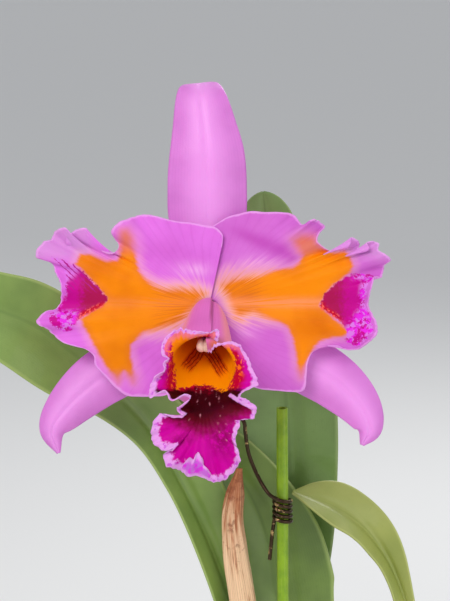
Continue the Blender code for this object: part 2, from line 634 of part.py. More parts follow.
def petal_place(margin, level, lap):
    """A petal's point (s, t): s round the margin, t from the claw out to the frilled edge."""
    rows = vectors(margin)
    calm_rows = calmed(rows, PETAL_CALM)
    way = math.copysign(1.0, rows[len(rows) // 2].y)
    lean = math.radians(PETAL_LEAN)

    def place(s, t):
        angle, right, up = blend(rows, s)
        calm = blend(calm_rows, s)
        turn = math.radians(calm.x)
        ray = Vector((way * math.sin(turn), math.cos(turn)))
        start, end = ray * PETAL_CLAW, Vector(calm[1:])
        bend = ray * (PETAL_CLAW + PETAL_SWELL * end.length)
        spot = start * (1 - t) ** 2 + bend * 2 * t * (1 - t) + end * t * t
        spot += (Vector((right, up)) - end) * FRILL_SHARE * t**5
        along = way * spot.x * math.sin(lean) + spot.y * math.cos(lean)
        beside = spot.y * math.sin(lean) - way * spot.x * math.cos(lean)
        rise = PETAL_RISE * ramp(angle, 0, 45) * along - PETAL_DROOP * along * along
        arch = rise - PETAL_SAG * beside * beside
        groove = -MIDRIB_DEPTH * math.exp(-((beside / MIDRIB_WIDTH) ** 2)) * ramp(along, 4, 30)
        frilled = FRILL_HEIGHT * ramp(angle, 28, 48) * (1.0 - 0.8 * ramp(angle, 104, 118))
        frill = frilled * t**5 * math.sin(2.0 * math.pi * s * (len(rows) - 1) / FRILL_ROWS)
        over = lap * t * (1.0 - ramp(angle, -12, 25))
        return Vector((spot.x, spot.y, level + arch + groove + frill + over))

    return place


def make_petals(home, flower):
    """The two broad petals; the left one laps over the right one above the lip."""
    pink = material("petal", (0.75, 0.22, 0.68), 0.5)
    left = petal_place(LEFT_PETAL_MARGIN, -2.2, 1.3)
    right = petal_place(RIGHT_PETAL_MARGIN, -3.4, -1.3)
    left_rows, right_rows = len(LEFT_PETAL_MARGIN) - 1, len(RIGHT_PETAL_MARGIN) - 1
    blade("petal_left", left_rows, 6, left, TEPAL_THICKNESS, pink, home, flower)
    blade("petal_right", right_rows, 6, right, TEPAL_THICKNESS, pink, home, flower)


def lip_place(s, t):
    """The lip's point (s, t): s once round and a little over, t from its foot out to the frill."""
    foot, mouth = Vector(LIP_FOOT), Vector(LIP_MOUTH)
    row = blend([Vector(point) for point in LIP_MARGIN], s)
    bearing, edge = row[0], Vector(row[1:])
    turn = math.radians(bearing)
    spoke = Vector((math.sin(turn), -math.cos(turn), 0.0))
    lap = LIP_LAP * (2.0 * s - 1.0)
    share = min(t / LIP_TUBE_SHARE, 1.0)
    opened = share**LIP_TUBE_SWELL
    radius = LIP_FOOT_RADIUS + (LIP_MOUTH_RADIUS - LIP_FOOT_RADIUS) * opened - lap
    wall = foot.lerp(mouth, share) + spoke * radius
    if t <= LIP_TUBE_SHARE:
        return wall
    flare = (t - LIP_TUBE_SHARE) / (1.0 - LIP_TUBE_SHARE)
    reach = (edge - wall).length
    kick = spoke * LIP_KICK_OUT + Vector(LIP_KICK_WAY).normalized()
    neck = Vector(LIP_NECK) - wall
    neck *= min(1.0, LIP_NECK_REACH * reach / neck.length)
    bend = wall + neck.lerp(kick * LIP_KICK * reach, ramp(abs(bearing), *LIP_NECK_SIDES))
    return wall * (1 - flare) ** 2 + bend * 2 * flare * (1 - flare) + edge * flare**2


def make_lip(home, flower):
    """The lip: a tube rolled round the column, flaring into ruffled side and front lobes."""
    magenta = material("lip", (0.50, 0.02, 0.28), 0.5)
    blade("lip", 76, 10, lip_place, LIP_THICKNESS, magenta, home, flower)


def make_column(home, flower):
    """The column under the hood, with its blunt cap."""
    cream = material("column", (0.75, 0.45, 0.42), 0.5)
    route = vectors([(0, -1.5, -0.9), (-0.4, -4.4, 6), (-0.8, -8.2, 12), (-1.2, -12.3, 18),
                     (-1.3, -16.2, 23.5)])
    radii = [2.0, 2.4, 3.0, 3.6, 3.0]
    add_object("column", rod_mesh(route, radii, 10, 8), cream, home, flower)


def make_stake(home, tools):
    """The hollow green stake, from deep in the bark to behind the flower."""
    green = material("stake", (0.32, 0.48, 0.05), 0.4)
    foot, lean = stake_line()
    top = Vector(STAKE_TOP)
    bm = rod_mesh([foot, foot.lerp(top, 0.5), top], [STAKE_RADIUS] * 3, STAKE_SIDES, 3)
    stake = add_object("stake", bm, green, home)
    cut(stake, cutter("stake_bore", STAKE_BORE, 2 * STAKE_BORE_DEPTH, 10, top, tools, lean))


def wire_route():
    """The wire's points: a hook round the stem, down to the stake, round it, and a free tail."""
    points = []
    for k in range(HOOK_STEPS + 1):
        turn = math.radians(HOOK_START + HOOK_TURN * k)
        offset = Vector((math.cos(turn), math.sin(turn), 0.0)) * HOOK_RADIUS
        points.append(Vector(HOOK_CENTRE) + offset + Vector((0, 0, HOOK_CLIMB * k - HOOK_DROP)))
    points.reverse()
    points += vectors([(-20.5, -6.5, 302), (-18.5, -8, 296), (-16.5, -9, 288),
                       (-13.5, -11.5, 281.5), (-9.5, -15.5, 277)])
    foot, top = Vector(STAKE_FOOT), Vector(STAKE_TOP)
    for k in range(round(COIL_TURNS * COIL_STEPS) + 1):
        turn = math.radians(COIL_START + 360 * k / COIL_STEPS)
        height = COIL_TOP - COIL_PITCH * k / COIL_STEPS
        share = (height - foot.z) / (top.z - foot.z)
        radius = COIL_RADIUS + COIL_WOBBLE * math.sin(1.3 * k)
        round_stake = Vector((math.cos(turn), math.sin(turn), COIL_SLANT * math.cos(turn)))
        points.append(foot.lerp(top, share) + round_stake * radius)
    points += vectors([(-6.4, -13.4, 258), (-7.0, -13.8, 252), (-7.6, -14, 245)])
    return points


def make_wire(home):
    """The stiff wire clip as one round wire."""
    bronze = material("support_wire", (0.10, 0.07, 0.04), 0.35, 1.0)
    curve = bpy.data.curves.new("support_wire", "CURVE")
    curve.dimensions = "3D"
    curve.bevel_depth = WIRE_RADIUS * MM
    curve.bevel_resolution = 2
    curve.use_fill_caps = True
    points = wire_route()
    spline = curve.splines.new("POLY")
    spline.points.add(len(points) - 1)
    for slot, point in zip(spline.points, points):
        slot.co = (*(point * MM), 1.0)
    curve.materials.append(bronze)
    home.objects.link(bpy.data.objects.new("support_wire", curve))


def main():
    remove_scene_objects()
    plant = new_collection("cattleya_orchid")
    tools = new_collection("cutters")
    flower = bpy.data.objects.new("flower_axes", None)
    flower.location = Vector(FLOWER_CENTRE) * MM
    flower.rotation_euler = (math.radians(90.0 - FLOWER_TILT), 0.0, 0.0)
    plant.objects.link(flower)
    make_pot(plant, tools)
    make_bark(plant, tools)
    make_rhizome(plant)
    make_pseudobulbs(plant)
    make_leaves(plant)
    make_flower_stem(plant)
    make_sheath(plant)
    make_sepals(plant, flower)
    make_petals(plant, flower)
    make_lip(plant, flower)
    make_column(plant, flower)
    make_stake(plant, tools)
    make_wire(plant)


main()
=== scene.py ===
# %% [markdown]
# # A potted cattleya orchid
# The plant's solids were measured and packed first. They come in here as a fixed frame, all in metres,
# +Z up, with the origin under the middle of the pot. This lesson dresses each of them: every soft or
# living piece is modelled again with finer folds, and every piece gets a finish made of nodes.

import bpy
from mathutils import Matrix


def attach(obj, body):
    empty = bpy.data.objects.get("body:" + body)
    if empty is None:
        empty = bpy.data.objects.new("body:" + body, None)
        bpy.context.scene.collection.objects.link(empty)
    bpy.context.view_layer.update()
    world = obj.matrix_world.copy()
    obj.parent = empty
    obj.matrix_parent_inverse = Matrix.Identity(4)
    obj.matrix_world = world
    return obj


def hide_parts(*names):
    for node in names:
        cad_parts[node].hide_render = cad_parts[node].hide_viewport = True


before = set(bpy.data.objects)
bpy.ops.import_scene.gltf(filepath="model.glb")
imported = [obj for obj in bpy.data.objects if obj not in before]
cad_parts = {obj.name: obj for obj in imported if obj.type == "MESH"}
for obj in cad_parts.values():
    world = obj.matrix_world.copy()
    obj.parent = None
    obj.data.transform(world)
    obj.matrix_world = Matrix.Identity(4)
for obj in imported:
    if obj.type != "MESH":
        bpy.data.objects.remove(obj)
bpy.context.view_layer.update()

# %% [markdown]
# A plant has no straight edges, so nearly every piece follows a smooth curve through a few chosen
# numbers. These two small rules are used all through the lesson: one draws the curve, and one makes
# a soft step. All sizes are written in millimetres, because that is how a plant is measured.

# %% Curves and soft steps
import math
import random

import bmesh
import bpy
import numpy as np
from mathutils import Matrix, Vector, noise

MM = 0.001


def blend(points, share):
    """The value at share (0 to 1) along a smooth curve through evenly spaced points."""
    place = min(max(share, 0.0), 1.0) * (len(points) - 1)
    k = min(int(place), len(points) - 2)
    f = place - k
    b, c = points[k], points[k + 1]
    a = points[k - 1] if k > 0 else b + (b - c)
    d = points[k + 2] if k + 2 < len(points) else c + (c - b)
    bend = 2.0 * a - 5.0 * b + 4.0 * c - d
    return 0.5 * (2.0 * b + (c - a) * f + bend * f * f + (3.0 * (b - c) + d - a) * f * f * f)


def ramp(x, low, high):
    """0 below low, 1 above high, and a smooth rise between them."""
    f = min(max((x - low) / (high - low), 0.0), 1.0)
    return f * f * (3.0 - 2.0 * f)


def vectors(points):
    return [Vector(p) for p in points]


print("halfway along 0, 4, 6:", blend([0.0, 4.0, 6.0], 0.5))

# %% [markdown]
# The flower doesn't face straight ahead: it nods back by 12 degrees. It is easier to model it in its
# own axes, right, up and outwards, and to turn each finished mesh into place. The camera looks along
# the same outward axis, as the photographer did, from 0.8 m with a long lens.

# %% The flower's own axes and the camera
FLOWER_CENTRE = (-35.0, -42.0, 370.0)
FLOWER_TILT = 12.0
CAMERA_DISTANCE = 800.0
CAMERA_AIM = Vector((6.88, 2.365, 0.0))
VIEW_HEIGHT = 258.43

flower_axes = (
    Matrix.Scale(MM, 4) @ Matrix.Translation(FLOWER_CENTRE)
    @ Matrix.Rotation(math.radians(90.0 - FLOWER_TILT), 4, "X")
)
plant_axes = Matrix.Scale(MM, 4)

scene = bpy.context.scene
lens = bpy.data.cameras.new("camera")
lens.sensor_fit = "VERTICAL"
lens.sensor_height = 36.0
lens.lens = lens.sensor_height * CAMERA_DISTANCE / VIEW_HEIGHT
camera = bpy.data.objects.new("camera", lens)
camera.location = flower_axes @ (CAMERA_AIM + Vector((0.0, 0.0, CAMERA_DISTANCE)))
camera.rotation_euler = (math.radians(90.0 - FLOWER_TILT), 0.0, 0.0)
scene.collection.objects.link(camera)
scene.camera = camera
print("camera at", tuple(round(v, 3) for v in camera.location), "lens", round(lens.lens, 1))

# %% [markdown]
# Petals are shown best in soft light, where their own colours do the work. Three large area lamps
# stand around the plant and a pale world fills the shadows. The floor is one plain pale plane, wide
# enough that the camera never sees past it.

# %% Floor and lights
def shine(name, place, aim, width, power, tint=(1.0, 1.0, 1.0)):
    """One square area lamp that points from place to aim, both in metres."""
    lamp = bpy.data.lights.new(name, "AREA")
    lamp.size = width
    lamp.energy = power
    lamp.color = tint
    made = bpy.data.objects.new(name, lamp)
    made.location = place
    made.rotation_euler = (Vector(aim) - Vector(place)).to_track_quat("-Z", "Y").to_euler()
    scene.collection.objects.link(made)
    return made


FLOWER_SPOT = (-0.035, -0.042, 0.35)
shine("key_light", (-0.55, -1.05, 1.25), FLOWER_SPOT, 0.7, 11.5, (1.0, 0.98, 0.95))
shine("fill_light", (0.95, -1.0, 0.55), FLOWER_SPOT, 1.0, 4.0)
shine("back_light", (0.5, 0.9, 1.1), FLOWER_SPOT, 0.6, 7.0)

world = bpy.data.worlds.new("studio")
world.use_nodes = True
sky = world.node_tree.nodes["Background"]
sky.inputs["Color"].default_value = (0.86, 0.88, 0.92, 1.0)
sky.inputs["Strength"].default_value = 0.58
scene.world = world
scene.view_settings.view_transform = "Standard"

FLOOR_HALF = 30.0
floor_bm = bmesh.new()
bmesh.ops.create_grid(floor_bm, x_segments=2, y_segments=2, size=FLOOR_HALF)
floor_mesh = bpy.data.meshes.new("floor")
floor_bm.to_mesh(floor_mesh)
floor_bm.free()
floor = bpy.data.objects.new("floor", floor_mesh)
scene.collection.objects.link(floor)
floor_finish = bpy.data.materials.new("pale_floor")
floor_finish.use_nodes = True
floor_shader = floor_finish.node_tree.nodes["Principled BSDF"]
floor_shader.inputs["Base Color"].default_value = (0.82, 0.82, 0.81, 1.0)
floor_shader.inputs["Roughness"].default_value = 0.8
floor_mesh.materials.append(floor_finish)

# %% [markdown]
# Three helpers carry every mesh to its place. The first turns a bmesh in millimetres into an object
# whose mesh is in metres, at the origin. The second fixes the new piece to the plant and says which
# solids it stands for. The third adds a number to each vertex, which a finish reads later to know
# where on the piece it is.

# %% From a bmesh to a piece
plant = bpy.data.collections.new("dressed_plant")
scene.collection.children.link(plant)


def make_piece(name, bm, finishes, axes=plant_axes, crease=50.0):
    """A named object from a bmesh in millimetres; edges bent past crease degrees stay sharp."""
    bmesh.ops.transform(bm, matrix=axes, verts=bm.verts)
    mesh = bpy.data.meshes.new(name)
    bm.to_mesh(mesh)
    bm.free()
    mesh.shade_smooth()
    mesh.set_sharp_from_angle(angle=math.radians(crease))
    for finish in finishes:
        mesh.materials.append(finish)
    made = bpy.data.objects.new(name, mesh)
    plant.objects.link(made)
    return made


def settle(piece, slot, *nodes):
    """Fix a piece to the plant; it stands for the named solids, if any. The slot is not used."""
    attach(piece, "root")
    if nodes:
        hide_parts(*nodes)
    bpy.context.view_layer.update()
    grown = piece.evaluated_get(bpy.context.evaluated_depsgraph_get()).to_mesh()
    grown.calc_loop_triangles()
    print(f"{piece.name}: {len(grown.loop_triangles)} triangles")


def write_number(piece, name, values):
    """Store one number for each vertex under a name that a finish can read."""
    made = piece.data.attributes.new(name, "FLOAT", "POINT")
    made.data.foreach_set("value", np.asarray(values, dtype=np.float32))


print("pieces go into:", plant.name)

# %% [markdown]
# Petals, sepals, leaves and the lip are all sheets. Each starts as a flat grid, and every vertex is
# moved to the point that a rule gives for its place (s, t) on the sheet, both from 0 to 1. Solidify
# then gives the sheet its two faces and a rim. The mesh keeps s and t as numbers. A sheet whose first
# finish would come out at the back is turned over.

# %% A sheet that follows a rule
NO_CREASE = 180.0


def make_sheet(name, along, across, rule, thickness, finishes, axes=plant_axes, turned=False):
    """A grid of along by across cells laid where rule(s, t) says, with a wall round it."""
    bm = bmesh.new()
    bmesh.ops.create_grid(bm, x_segments=along, y_segments=across, size=0.5)
    shares = [(vertex.co.x + 0.5, vertex.co.y + 0.5) for vertex in bm.verts]
    spots = [rule(s, t) for s, t in shares]
    for vertex, spot in zip(bm.verts, spots):
        vertex.co = spot
    if turned:
        bmesh.ops.reverse_faces(bm, faces=bm.faces)
    piece = make_piece(name, bm, finishes, axes, crease=NO_CREASE)
    write_number(piece, "s", [s for s, t in shares])
    write_number(piece, "t", [t for s, t in shares])
    wall = piece.modifiers.new("Thickness", "SOLIDIFY")
    wall.thickness = thickness * MM
    wall.offset = 0.0
    wall.material_offset = len(finishes) - 1
    return piece, np.array(spots), np.array(shares)


print("make_sheet:", make_sheet.__doc__)

# %% [markdown]
# A finish is a small tree of nodes that ends in one Principled shader. Most trees need the same few
# steps: read a number from the mesh, compare it with two limits, add some noise, and mix two colours.
# Each helper below adds such a step and returns the socket that comes out of it.

# %% Helpers for finishes
def paint(red, green, blue):
    """A colour as it is given, 0 to 255 a channel, turned into the shader's own scale."""
    shares = [channel / 255.0 for channel in (red, green, blue)]
    straight = [c / 12.92 if c <= 0.04045 else ((c + 0.055) / 1.055) ** 2.4 for c in shares]
    return (*straight, 1.0)


def feed(tree, socket, value):
    """Link another node's output to a socket, or set the socket to a plain value."""
    if isinstance(value, bpy.types.NodeSocket):
        tree.links.new(value, socket)
    elif value is not None:
        socket.default_value = value


def sums(tree, operation, first, second=None, third=None):
    """One step of arithmetic on up to three numbers; MULTIPLY_ADD is first * second + third."""
    made = tree.nodes.new("ShaderNodeMath")
    made.operation = operation
    for socket, value in zip(made.inputs, (first, second, third)):
        feed(tree, socket, value)
    return made.outputs[0]


def rise(tree, value, low, high):
    """0 where value is at low, 1 where it is at high, and a soft step between them."""
    made = tree.nodes.new("ShaderNodeMapRange")
    made.interpolation_type = "SMOOTHSTEP"
    feed(tree, made.inputs["Value"], value)
    feed(tree, made.inputs["From Min"], low)
    feed(tree, made.inputs["From Max"], high)
    return made.outputs["Result"]


def mixed(tree, share, first, second):
    """The second colour laid over the first as far as share says."""
    made = tree.nodes.new("ShaderNodeMix")
    made.data_type = "RGBA"
    feed(tree, made.inputs[0], share)
    feed(tree, made.inputs[6], first)
    feed(tree, made.inputs[7], second)
    return made.outputs[2]


def coated(tree, first, second, share, strength):
    """The second colour laid over the first where share says, and no thicker than strength."""
    return mixed(tree, sums(tree, "MULTIPLY", share, strength), first, second)


def swayed(tree, value, unrest, reach):
    """A value pushed down and up by noise, by half the reach each way."""
    return sums(tree, "MULTIPLY_ADD", sums(tree, "SUBTRACT", unrest, 0.5), reach, value)


def off_middle(tree, across):
    """How far a number from 0 to 1 lies from a half."""
    return sums(tree, "ABSOLUTE", sums(tree, "SUBTRACT", across, 0.5))


def grain(tree, where, scale, detail=2.0, roughness=0.5):
    """Smooth noise from 0 to 1 around a half."""
    made = tree.nodes.new("ShaderNodeTexNoise")
    feed(tree, made.inputs["Vector"], where)
    feed(tree, made.inputs["Scale"], scale)
    feed(tree, made.inputs["Detail"], detail)
    feed(tree, made.inputs["Roughness"], roughness)
    return made.outputs["Fac"]


def number(tree, name):
    """A number that was stored on the mesh."""
    made = tree.nodes.new("ShaderNodeAttribute")
    made.attribute_name = name
    return made.outputs["Fac"]


def place_on(tree):
    """Where on the piece a point lies, in metres, so that scales count in cells a metre."""
    return tree.nodes.new("ShaderNodeTexCoord").outputs["Object"]


def spread(tree, first, second):
    """Two numbers as one vector, to stretch noise along a sheet."""
    made = tree.nodes.new("ShaderNodeCombineXYZ")
    for socket, value in zip(made.inputs, (first, second)):
        feed(tree, socket, value)
    return made.outputs[0]


def squeezed(tree, where, scales):
    """A place stretched or squeezed along each axis, for noise with a grain."""
    made = tree.nodes.new("ShaderNodeMapping")
    made.inputs["Scale"].default_value = scales
    feed(tree, made.inputs["Vector"], where)
    return made.outputs["Vector"]


def bump(tree, height, strength, depth):
    """A normal bent by a height from 0 to 1, depth metres deep."""
    made = tree.nodes.new("ShaderNodeBump")
    made.inputs["Strength"].default_value = strength
    made.inputs["Distance"].default_value = depth
    feed(tree, made.inputs["Height"], height)
    return made.outputs["Normal"]


GLOW_DEPTHS = (0.0012, 0.0006, 0.0009)


def new_finish(name, roughness, sheen=0.0, coat=0.0, soft=0.0, gloss=0.5):
    """A material with its shader; soft lets light sink in, by GLOW_DEPTHS for each colour."""
    made = bpy.data.materials.new(name)
    made.use_nodes = True
    shader = made.node_tree.nodes["Principled BSDF"]
    shader.inputs["Roughness"].default_value = roughness
    shader.inputs["Specular IOR Level"].default_value = gloss
    shader.inputs["Sheen Weight"].default_value = sheen
    shader.inputs["Coat Weight"].default_value = coat
    shader.inputs["Subsurface Weight"].default_value = soft
    shader.inputs["Subsurface Radius"].default_value = GLOW_DEPTHS
    shader.inputs["Subsurface Scale"].default_value = 1.0
    return made, made.node_tree, shader


print("orchid pink in the shader's scale:", tuple(round(c, 3) for c in paint(222, 110, 222)))

# %% [markdown]
# Several pieces share three effects, so each effect is a node group that is built once. The first is
# the fine grain of living cells: a petal glitters a little because each of its cells is a tiny dome.
# The second is a patch of colour whose edge breaks up into fine strokes along the veins. The third is
# the veins themselves, which run from a sheet's base to its edge and wander a little.

# %% Node groups that the finishes share
NUMBER, VECTOR = "NodeSocketFloat", "NodeSocketVector"


def new_group(name, inputs, outputs):
    """An empty node group with named number or vector inputs and number outputs."""
    group = bpy.data.node_groups.new(name, "ShaderNodeTree")
    for label, kind, value in inputs:
        socket = group.interface.new_socket(name=label, in_out="INPUT", socket_type=kind)
        if value is not None:
            socket.default_value = value
    for label in outputs:
        group.interface.new_socket(name=label, in_out="OUTPUT", socket_type=NUMBER)
    entry = group.nodes.new("NodeGroupInput").outputs
    leave = group.nodes.new("NodeGroupOutput").inputs
    return group, entry, leave


living_cells, entry, leave = new_group(
    "living_cells",
    [("Place", VECTOR, None), ("Cell Scale", NUMBER, 2600.0), ("Cloud Scale", NUMBER, 160.0)],
    ["Height", "Cloud"],
)
domes = living_cells.nodes.new("ShaderNodeTexVoronoi")
feed(living_cells, domes.inputs["Vector"], entry["Place"])
feed(living_cells, domes.inputs["Scale"], entry["Cell Scale"])
dome = sums(living_cells, "SUBTRACT", 1.0, domes.outputs["Distance"])
cloud = grain(living_cells, entry["Place"], entry["Cloud Scale"], 3.0, 0.55)
feed(living_cells, leave["Height"], sums(living_cells, "MULTIPLY_ADD", cloud, 0.8, dome))
feed(living_cells, leave["Cloud"], cloud)

feathered_patch, entry, leave = new_group(
    "feathered_patch",
    [("Inside", NUMBER, 0.0), ("Strokes", NUMBER, 0.5), ("Fringe", NUMBER, 1.0),
     ("Softness", NUMBER, 0.4)],
    ["Patch"],
)
pushed = sums(feathered_patch, "SUBTRACT", entry["Strokes"], 0.5)
pushed = sums(feathered_patch, "MULTIPLY_ADD", pushed, entry["Fringe"], entry["Inside"])
low = sums(feathered_patch, "MULTIPLY", entry["Softness"], -1.0)
feed(feathered_patch, leave["Patch"], rise(feathered_patch, pushed, low, entry["Softness"]))

sheet_veins, entry, leave = new_group(
    "sheet_veins",
    [("Across", NUMBER, 0.0), ("Along", NUMBER, 0.0), ("Count", NUMBER, 40.0),
     ("Wander", NUMBER, 0.3)],
    ["Vein"],
)
path = spread(sheet_veins, sums(sheet_veins, "MULTIPLY", entry["Across"], 5.0), entry["Along"])
sway = sums(sheet_veins, "SUBTRACT", grain(sheet_veins, path, 2.5, 2.0), 0.5)
wander = sums(sheet_veins, "MULTIPLY", entry["Wander"], 6.0)
line = sums(sheet_veins, "MULTIPLY", entry["Across"], entry["Count"])
line = sums(sheet_veins, "MULTIPLY_ADD", sway, wander, line)
beside = off_middle(sheet_veins, sums(sheet_veins, "FRACT", line))
feed(sheet_veins, leave["Vein"], rise(sheet_veins, beside, 0.16, 0.0))


def use_group(tree, group, **values):
    """Place a group in a tree; values are given by input name, with _ for a space."""
    made = tree.nodes.new("ShaderNodeGroup")
    made.node_tree = group
    for label, value in values.items():
        feed(tree, made.inputs[label.replace("_", " ")], value)
    return made.outputs


print("groups:", [group.name for group in bpy.data.node_groups])

# %% [markdown]
# The sepals are the plainest parts of the flower: three strap-shaped sheets of one light orchid pink,
# with a painted highlight along the middle and faint lengthwise veins. They come first because they
# lie furthest back.
# Their margins roll backwards, which the rule does with a term that grows with the square of the
# distance from the midline.

# %% The sepals' finish
def petal_body(tree, shader, colour, deep, veins):
    """What all the flower's sheets share: a cloudy tone, faint veins and the glitter of cells."""
    cells = use_group(tree, living_cells, Place=place_on(tree), Cloud_Scale=60.0)
    cloudy = sums(tree, "MULTIPLY", rise(tree, cells["Cloud"], 0.35, 0.8), 0.4)
    tone = mixed(tree, cloudy, colour, deep)
    tone = coated(tree, tone, deep, veins, 0.16)
    height = sums(tree, "MULTIPLY_ADD", veins, -0.45, cells["Height"])
    feed(tree, shader.inputs["Normal"], bump(tree, height, 0.35, 0.00012))
    return tone


def sepal_finish(name, light, colour, deep):
    """A sepal's face or back: a painted highlight along the middle and deep at the foot."""
    made, tree, shader = new_finish(name, 0.4, sheen=0.1, soft=0.25, gloss=0.35)
    across, along = number(tree, "t"), number(tree, "s")
    veins = use_group(tree, sheet_veins, Across=across, Along=along, Count=26.0, Wander=0.15)
    tone = petal_body(tree, shader, colour, deep, veins["Vein"])
    # painted highlight: the middle of the sepal is made lighter
    middle = rise(tree, off_middle(tree, across), 0.42, 0.0)
    tone = coated(tree, tone, light, middle, 0.65)
    foot = rise(tree, along, 0.22, 0.0)
    tone = coated(tree, tone, deep, foot, 0.6)
    feed(tree, shader.inputs["Base Color"], tone)
    return made


# The first colour of each row is a painted highlight for the sepal's middle.
SEPAL_FACE_HIGHLIGHT_AND_TONES = paint(240, 160, 236), paint(216, 126, 212), paint(186, 96, 184)
SEPAL_REVERSE_HIGHLIGHT_AND_TONES = paint(238, 170, 234), paint(222, 150, 222), paint(190, 130, 180)
sepal_front = sepal_finish("sepal_front", *SEPAL_FACE_HIGHLIGHT_AND_TONES)
sepal_back = sepal_finish("sepal_back", *SEPAL_REVERSE_HIGHLIGHT_AND_TONES)
print("finishes:", sepal_front.name, sepal_back.name)

# %% The three sepals
SHEET_THICKNESS = 0.55
KEEL_DEPTH, KEEL_SHARE = 0.5, 0.12


def strap(route, half_widths, roll, ripple):
    """A sepal's point (s, t): a strip along its midline whose margins roll back."""
    route = vectors(route)

    def rule(s, t):
        across = 2.0 * t - 1.0
        middle = blend(route, s)
        ahead = blend(route, s + 0.02) - blend(route, s - 0.02)
        side = Vector((ahead.y, -ahead.x, 0.0)).normalized()
        width = blend(half_widths, s)
        back = blend(roll, s) * across * across
        keel = KEEL_DEPTH * math.exp(-((across / KEEL_SHARE) ** 2)) * ramp(s, 0.0, 0.2)
        wave = ripple * across * across * math.sin(9.0 * s + 2.0 * across)
        return middle + side * width * across + Vector((0, 0, wave - back - keel))

    return rule


sepal_rules = {
    "dorsal_sepal": strap(
        [(0, 3.2, -4.3), (-0.3, 19, -7.5), (-0.8, 36, -9.0), (-0.9, 52, -7.5), (-1.0, 66, -6.5),
         (-2.2, 79, -8.0), (-3.7, 91.5, -11.5), (-4.1, 97.3, -17.5), (-4.2, 98.4, -24.0)],
        [2.4, 10, 16.4, 17.2, 16.3, 13.8, 11.0, 8.0, 2.0],
        [0.1, 2.0, 4.0, 5.0, 5.0, 5.0, 3.0, 1.0, 0.2], 0.5,
    ),
    "lateral_sepal_left": strap(
        [(-2.7, -2.0, -4.3), (-19, -13, -8.5), (-35, -24, -9.5), (-50, -33.5, -8),
         (-62, -44.5, -7), (-68, -54, -7), (-65.5, -64, -9)],
        [1.9, 8, 12.4, 12.0, 9.4, 5.8, 0.7],
        [0.1, 1.5, 3.0, 4.0, 4.0, 2.5, 0.2], 0.4,
    ),
    "lateral_sepal_right": strap(
        [(2.7, -2.0, -4.3), (20, -13, -8.5), (38, -23, -9.5), (54, -32.5, -8),
         (65, -43, -7), (69.5, -53, -7), (66.5, -60.5, -9)],
        [1.9, 8, 12.4, 12.0, 9.6, 6.0, 0.7],
        [0.1, 1.5, 3.0, 4.0, 4.0, 2.5, 0.2], 0.4,
    ),
}
for name, rule in sepal_rules.items():
    sepal, *_ = make_sheet(
        name + "_skin", 110, 44, rule, SHEET_THICKNESS, [sepal_front, sepal_back], flower_axes,
        turned=True,
    )
    settle(sepal, "sepal", name)

# %% [markdown]
# The petals are the showiest sheets and the hardest to lay out, because their margins are cut and
# ruffled. The margin is drawn as a list of chosen points, each with the ray it lies on, counted in
# degrees from straight up. The sheet then fans out from a narrow claw to that margin: near the claw
# the rays run evenly, and only close to the margin do they swing out to the true points.

# %% The petals' margins
LEFT_PETAL_MARGIN = [
    (-12.5, 5.5, 26), (-11, 6, 30), (-9, 5, 32), (-4, 2.5, 34), (4, -2.5, 35), (14, -8, 36),
    (23, -13.5, 36.5), (30, -18.5, 37.5), (37, -24, 39), (43, -28.5, 39.5), (47, -32, 38.5),
    (50, -36, 37), (53, -40, 35), (55, -42, 32), (56, -40.5, 29), (57, -39, 26.5),
    (58, -39.5, 24), (59, -41.5, 22.5), (60, -45, 23), (61, -48.5, 25.5), (62, -51.5, 27.5),
    (63, -52.5, 31), (64, -53, 33.5), (65, -56.5, 33), (66, -60, 30.6), (66.5, -58.7, 27.8),
    (67, -61.7, 26.4), (68, -60.8, 30.7), (69, -61.5, 33.5), (70, -65, 33), (71, -67, 31.5),
    (72, -68.5, 28.5), (73, -71.5, 27.5), (75, -74, 24), (77, -74.5, 21), (78.5, -70.5, 20),
    (80, -67.5, 18),
    (82, -66, 14), (85, -64, 10.5), (88, -63.5, 6.5), (91, -64, 2), (93.5, -66.5, -1.5),
    (95.5, -70.5, -2.5), (97.5, -74, -6), (99.5, -73.5, -8), (101.5, -70, -9.5),
    (104, -67.5, -12), (107, -63.5, -15.5), (110, -58.5, -17), (114, -53, -18.5),
    (118, -49.5, -21.5), (122, -49, -25.5), (127, -45, -30), (133, -41, -34.5),
    (139, -35.5, -38.5), (145, -29.5, -39), (150, -24.5, -39), (155, -19, -38.5),
    (160, -13.5, -36), (164, -9, -31), (167, -6, -22.5),
]
RIGHT_PETAL_MARGIN = [
    (-9, -4.5, 31), (-3, -1.5, 33), (4, 3, 35.5), (11, 8, 38.5), (18, 13.5, 40), (24, 18.5, 41),
    (30, 24, 40.5), (35, 30, 40.5), (39, 35, 40), (42, 37.5, 38.5), (45, 39.5, 35.5),
    (47, 41.5, 35), (49, 44, 37), (51, 46.5, 37), (53, 49, 35.5), (54.5, 50, 34),
    (55.5, 47.5, 31.5), (56.5, 46.5, 28), (58, 48.5, 26), (60, 51.5, 24), (62, 55, 23),
    (64, 59, 24.5), (65.5, 61, 27), (66.5, 61.5, 29.5), (67.5, 64.5, 28), (68.5, 65, 26),
    (69.5, 64.5, 24), (70.5, 67.5, 23.5), (71.5, 69, 25), (72.5, 68, 27), (73.5, 70.5, 28),
    (74.5, 73.5, 27), (75.5, 73, 24), (76.5, 75.5, 22.5), (77.5, 78.5, 20), (78.5, 76, 18),
    (80, 75.5, 15.5), (82, 74.5, 12.5), (84, 71.5, 12.5), (86.5, 70, 7.5), (89.5, 69, 3),
    (92.5, 69.5, -1.5), (95.5, 71.5, -5.5), (98.5, 72.5, -9), (101.5, 72, -12.5),
    (104.5, 68.5, -16), (108, 65, -18.5), (111, 61.5, -19), (114, 58.5, -18.5), (118, 55.5, -17),
    (122, 51, -17), (126, 47.5, -18), (130, 44.5, -20), (134, 42.5, -24.5), (138.5, 42, -30),
    (143, 41.5, -35), (147, 39.5, -37), (151, 34.5, -37), (154.5, 29, -36.5), (158, 23, -36),
    (161, 18, -34.5), (164, 13.5, -32), (167, 8, -25),
]
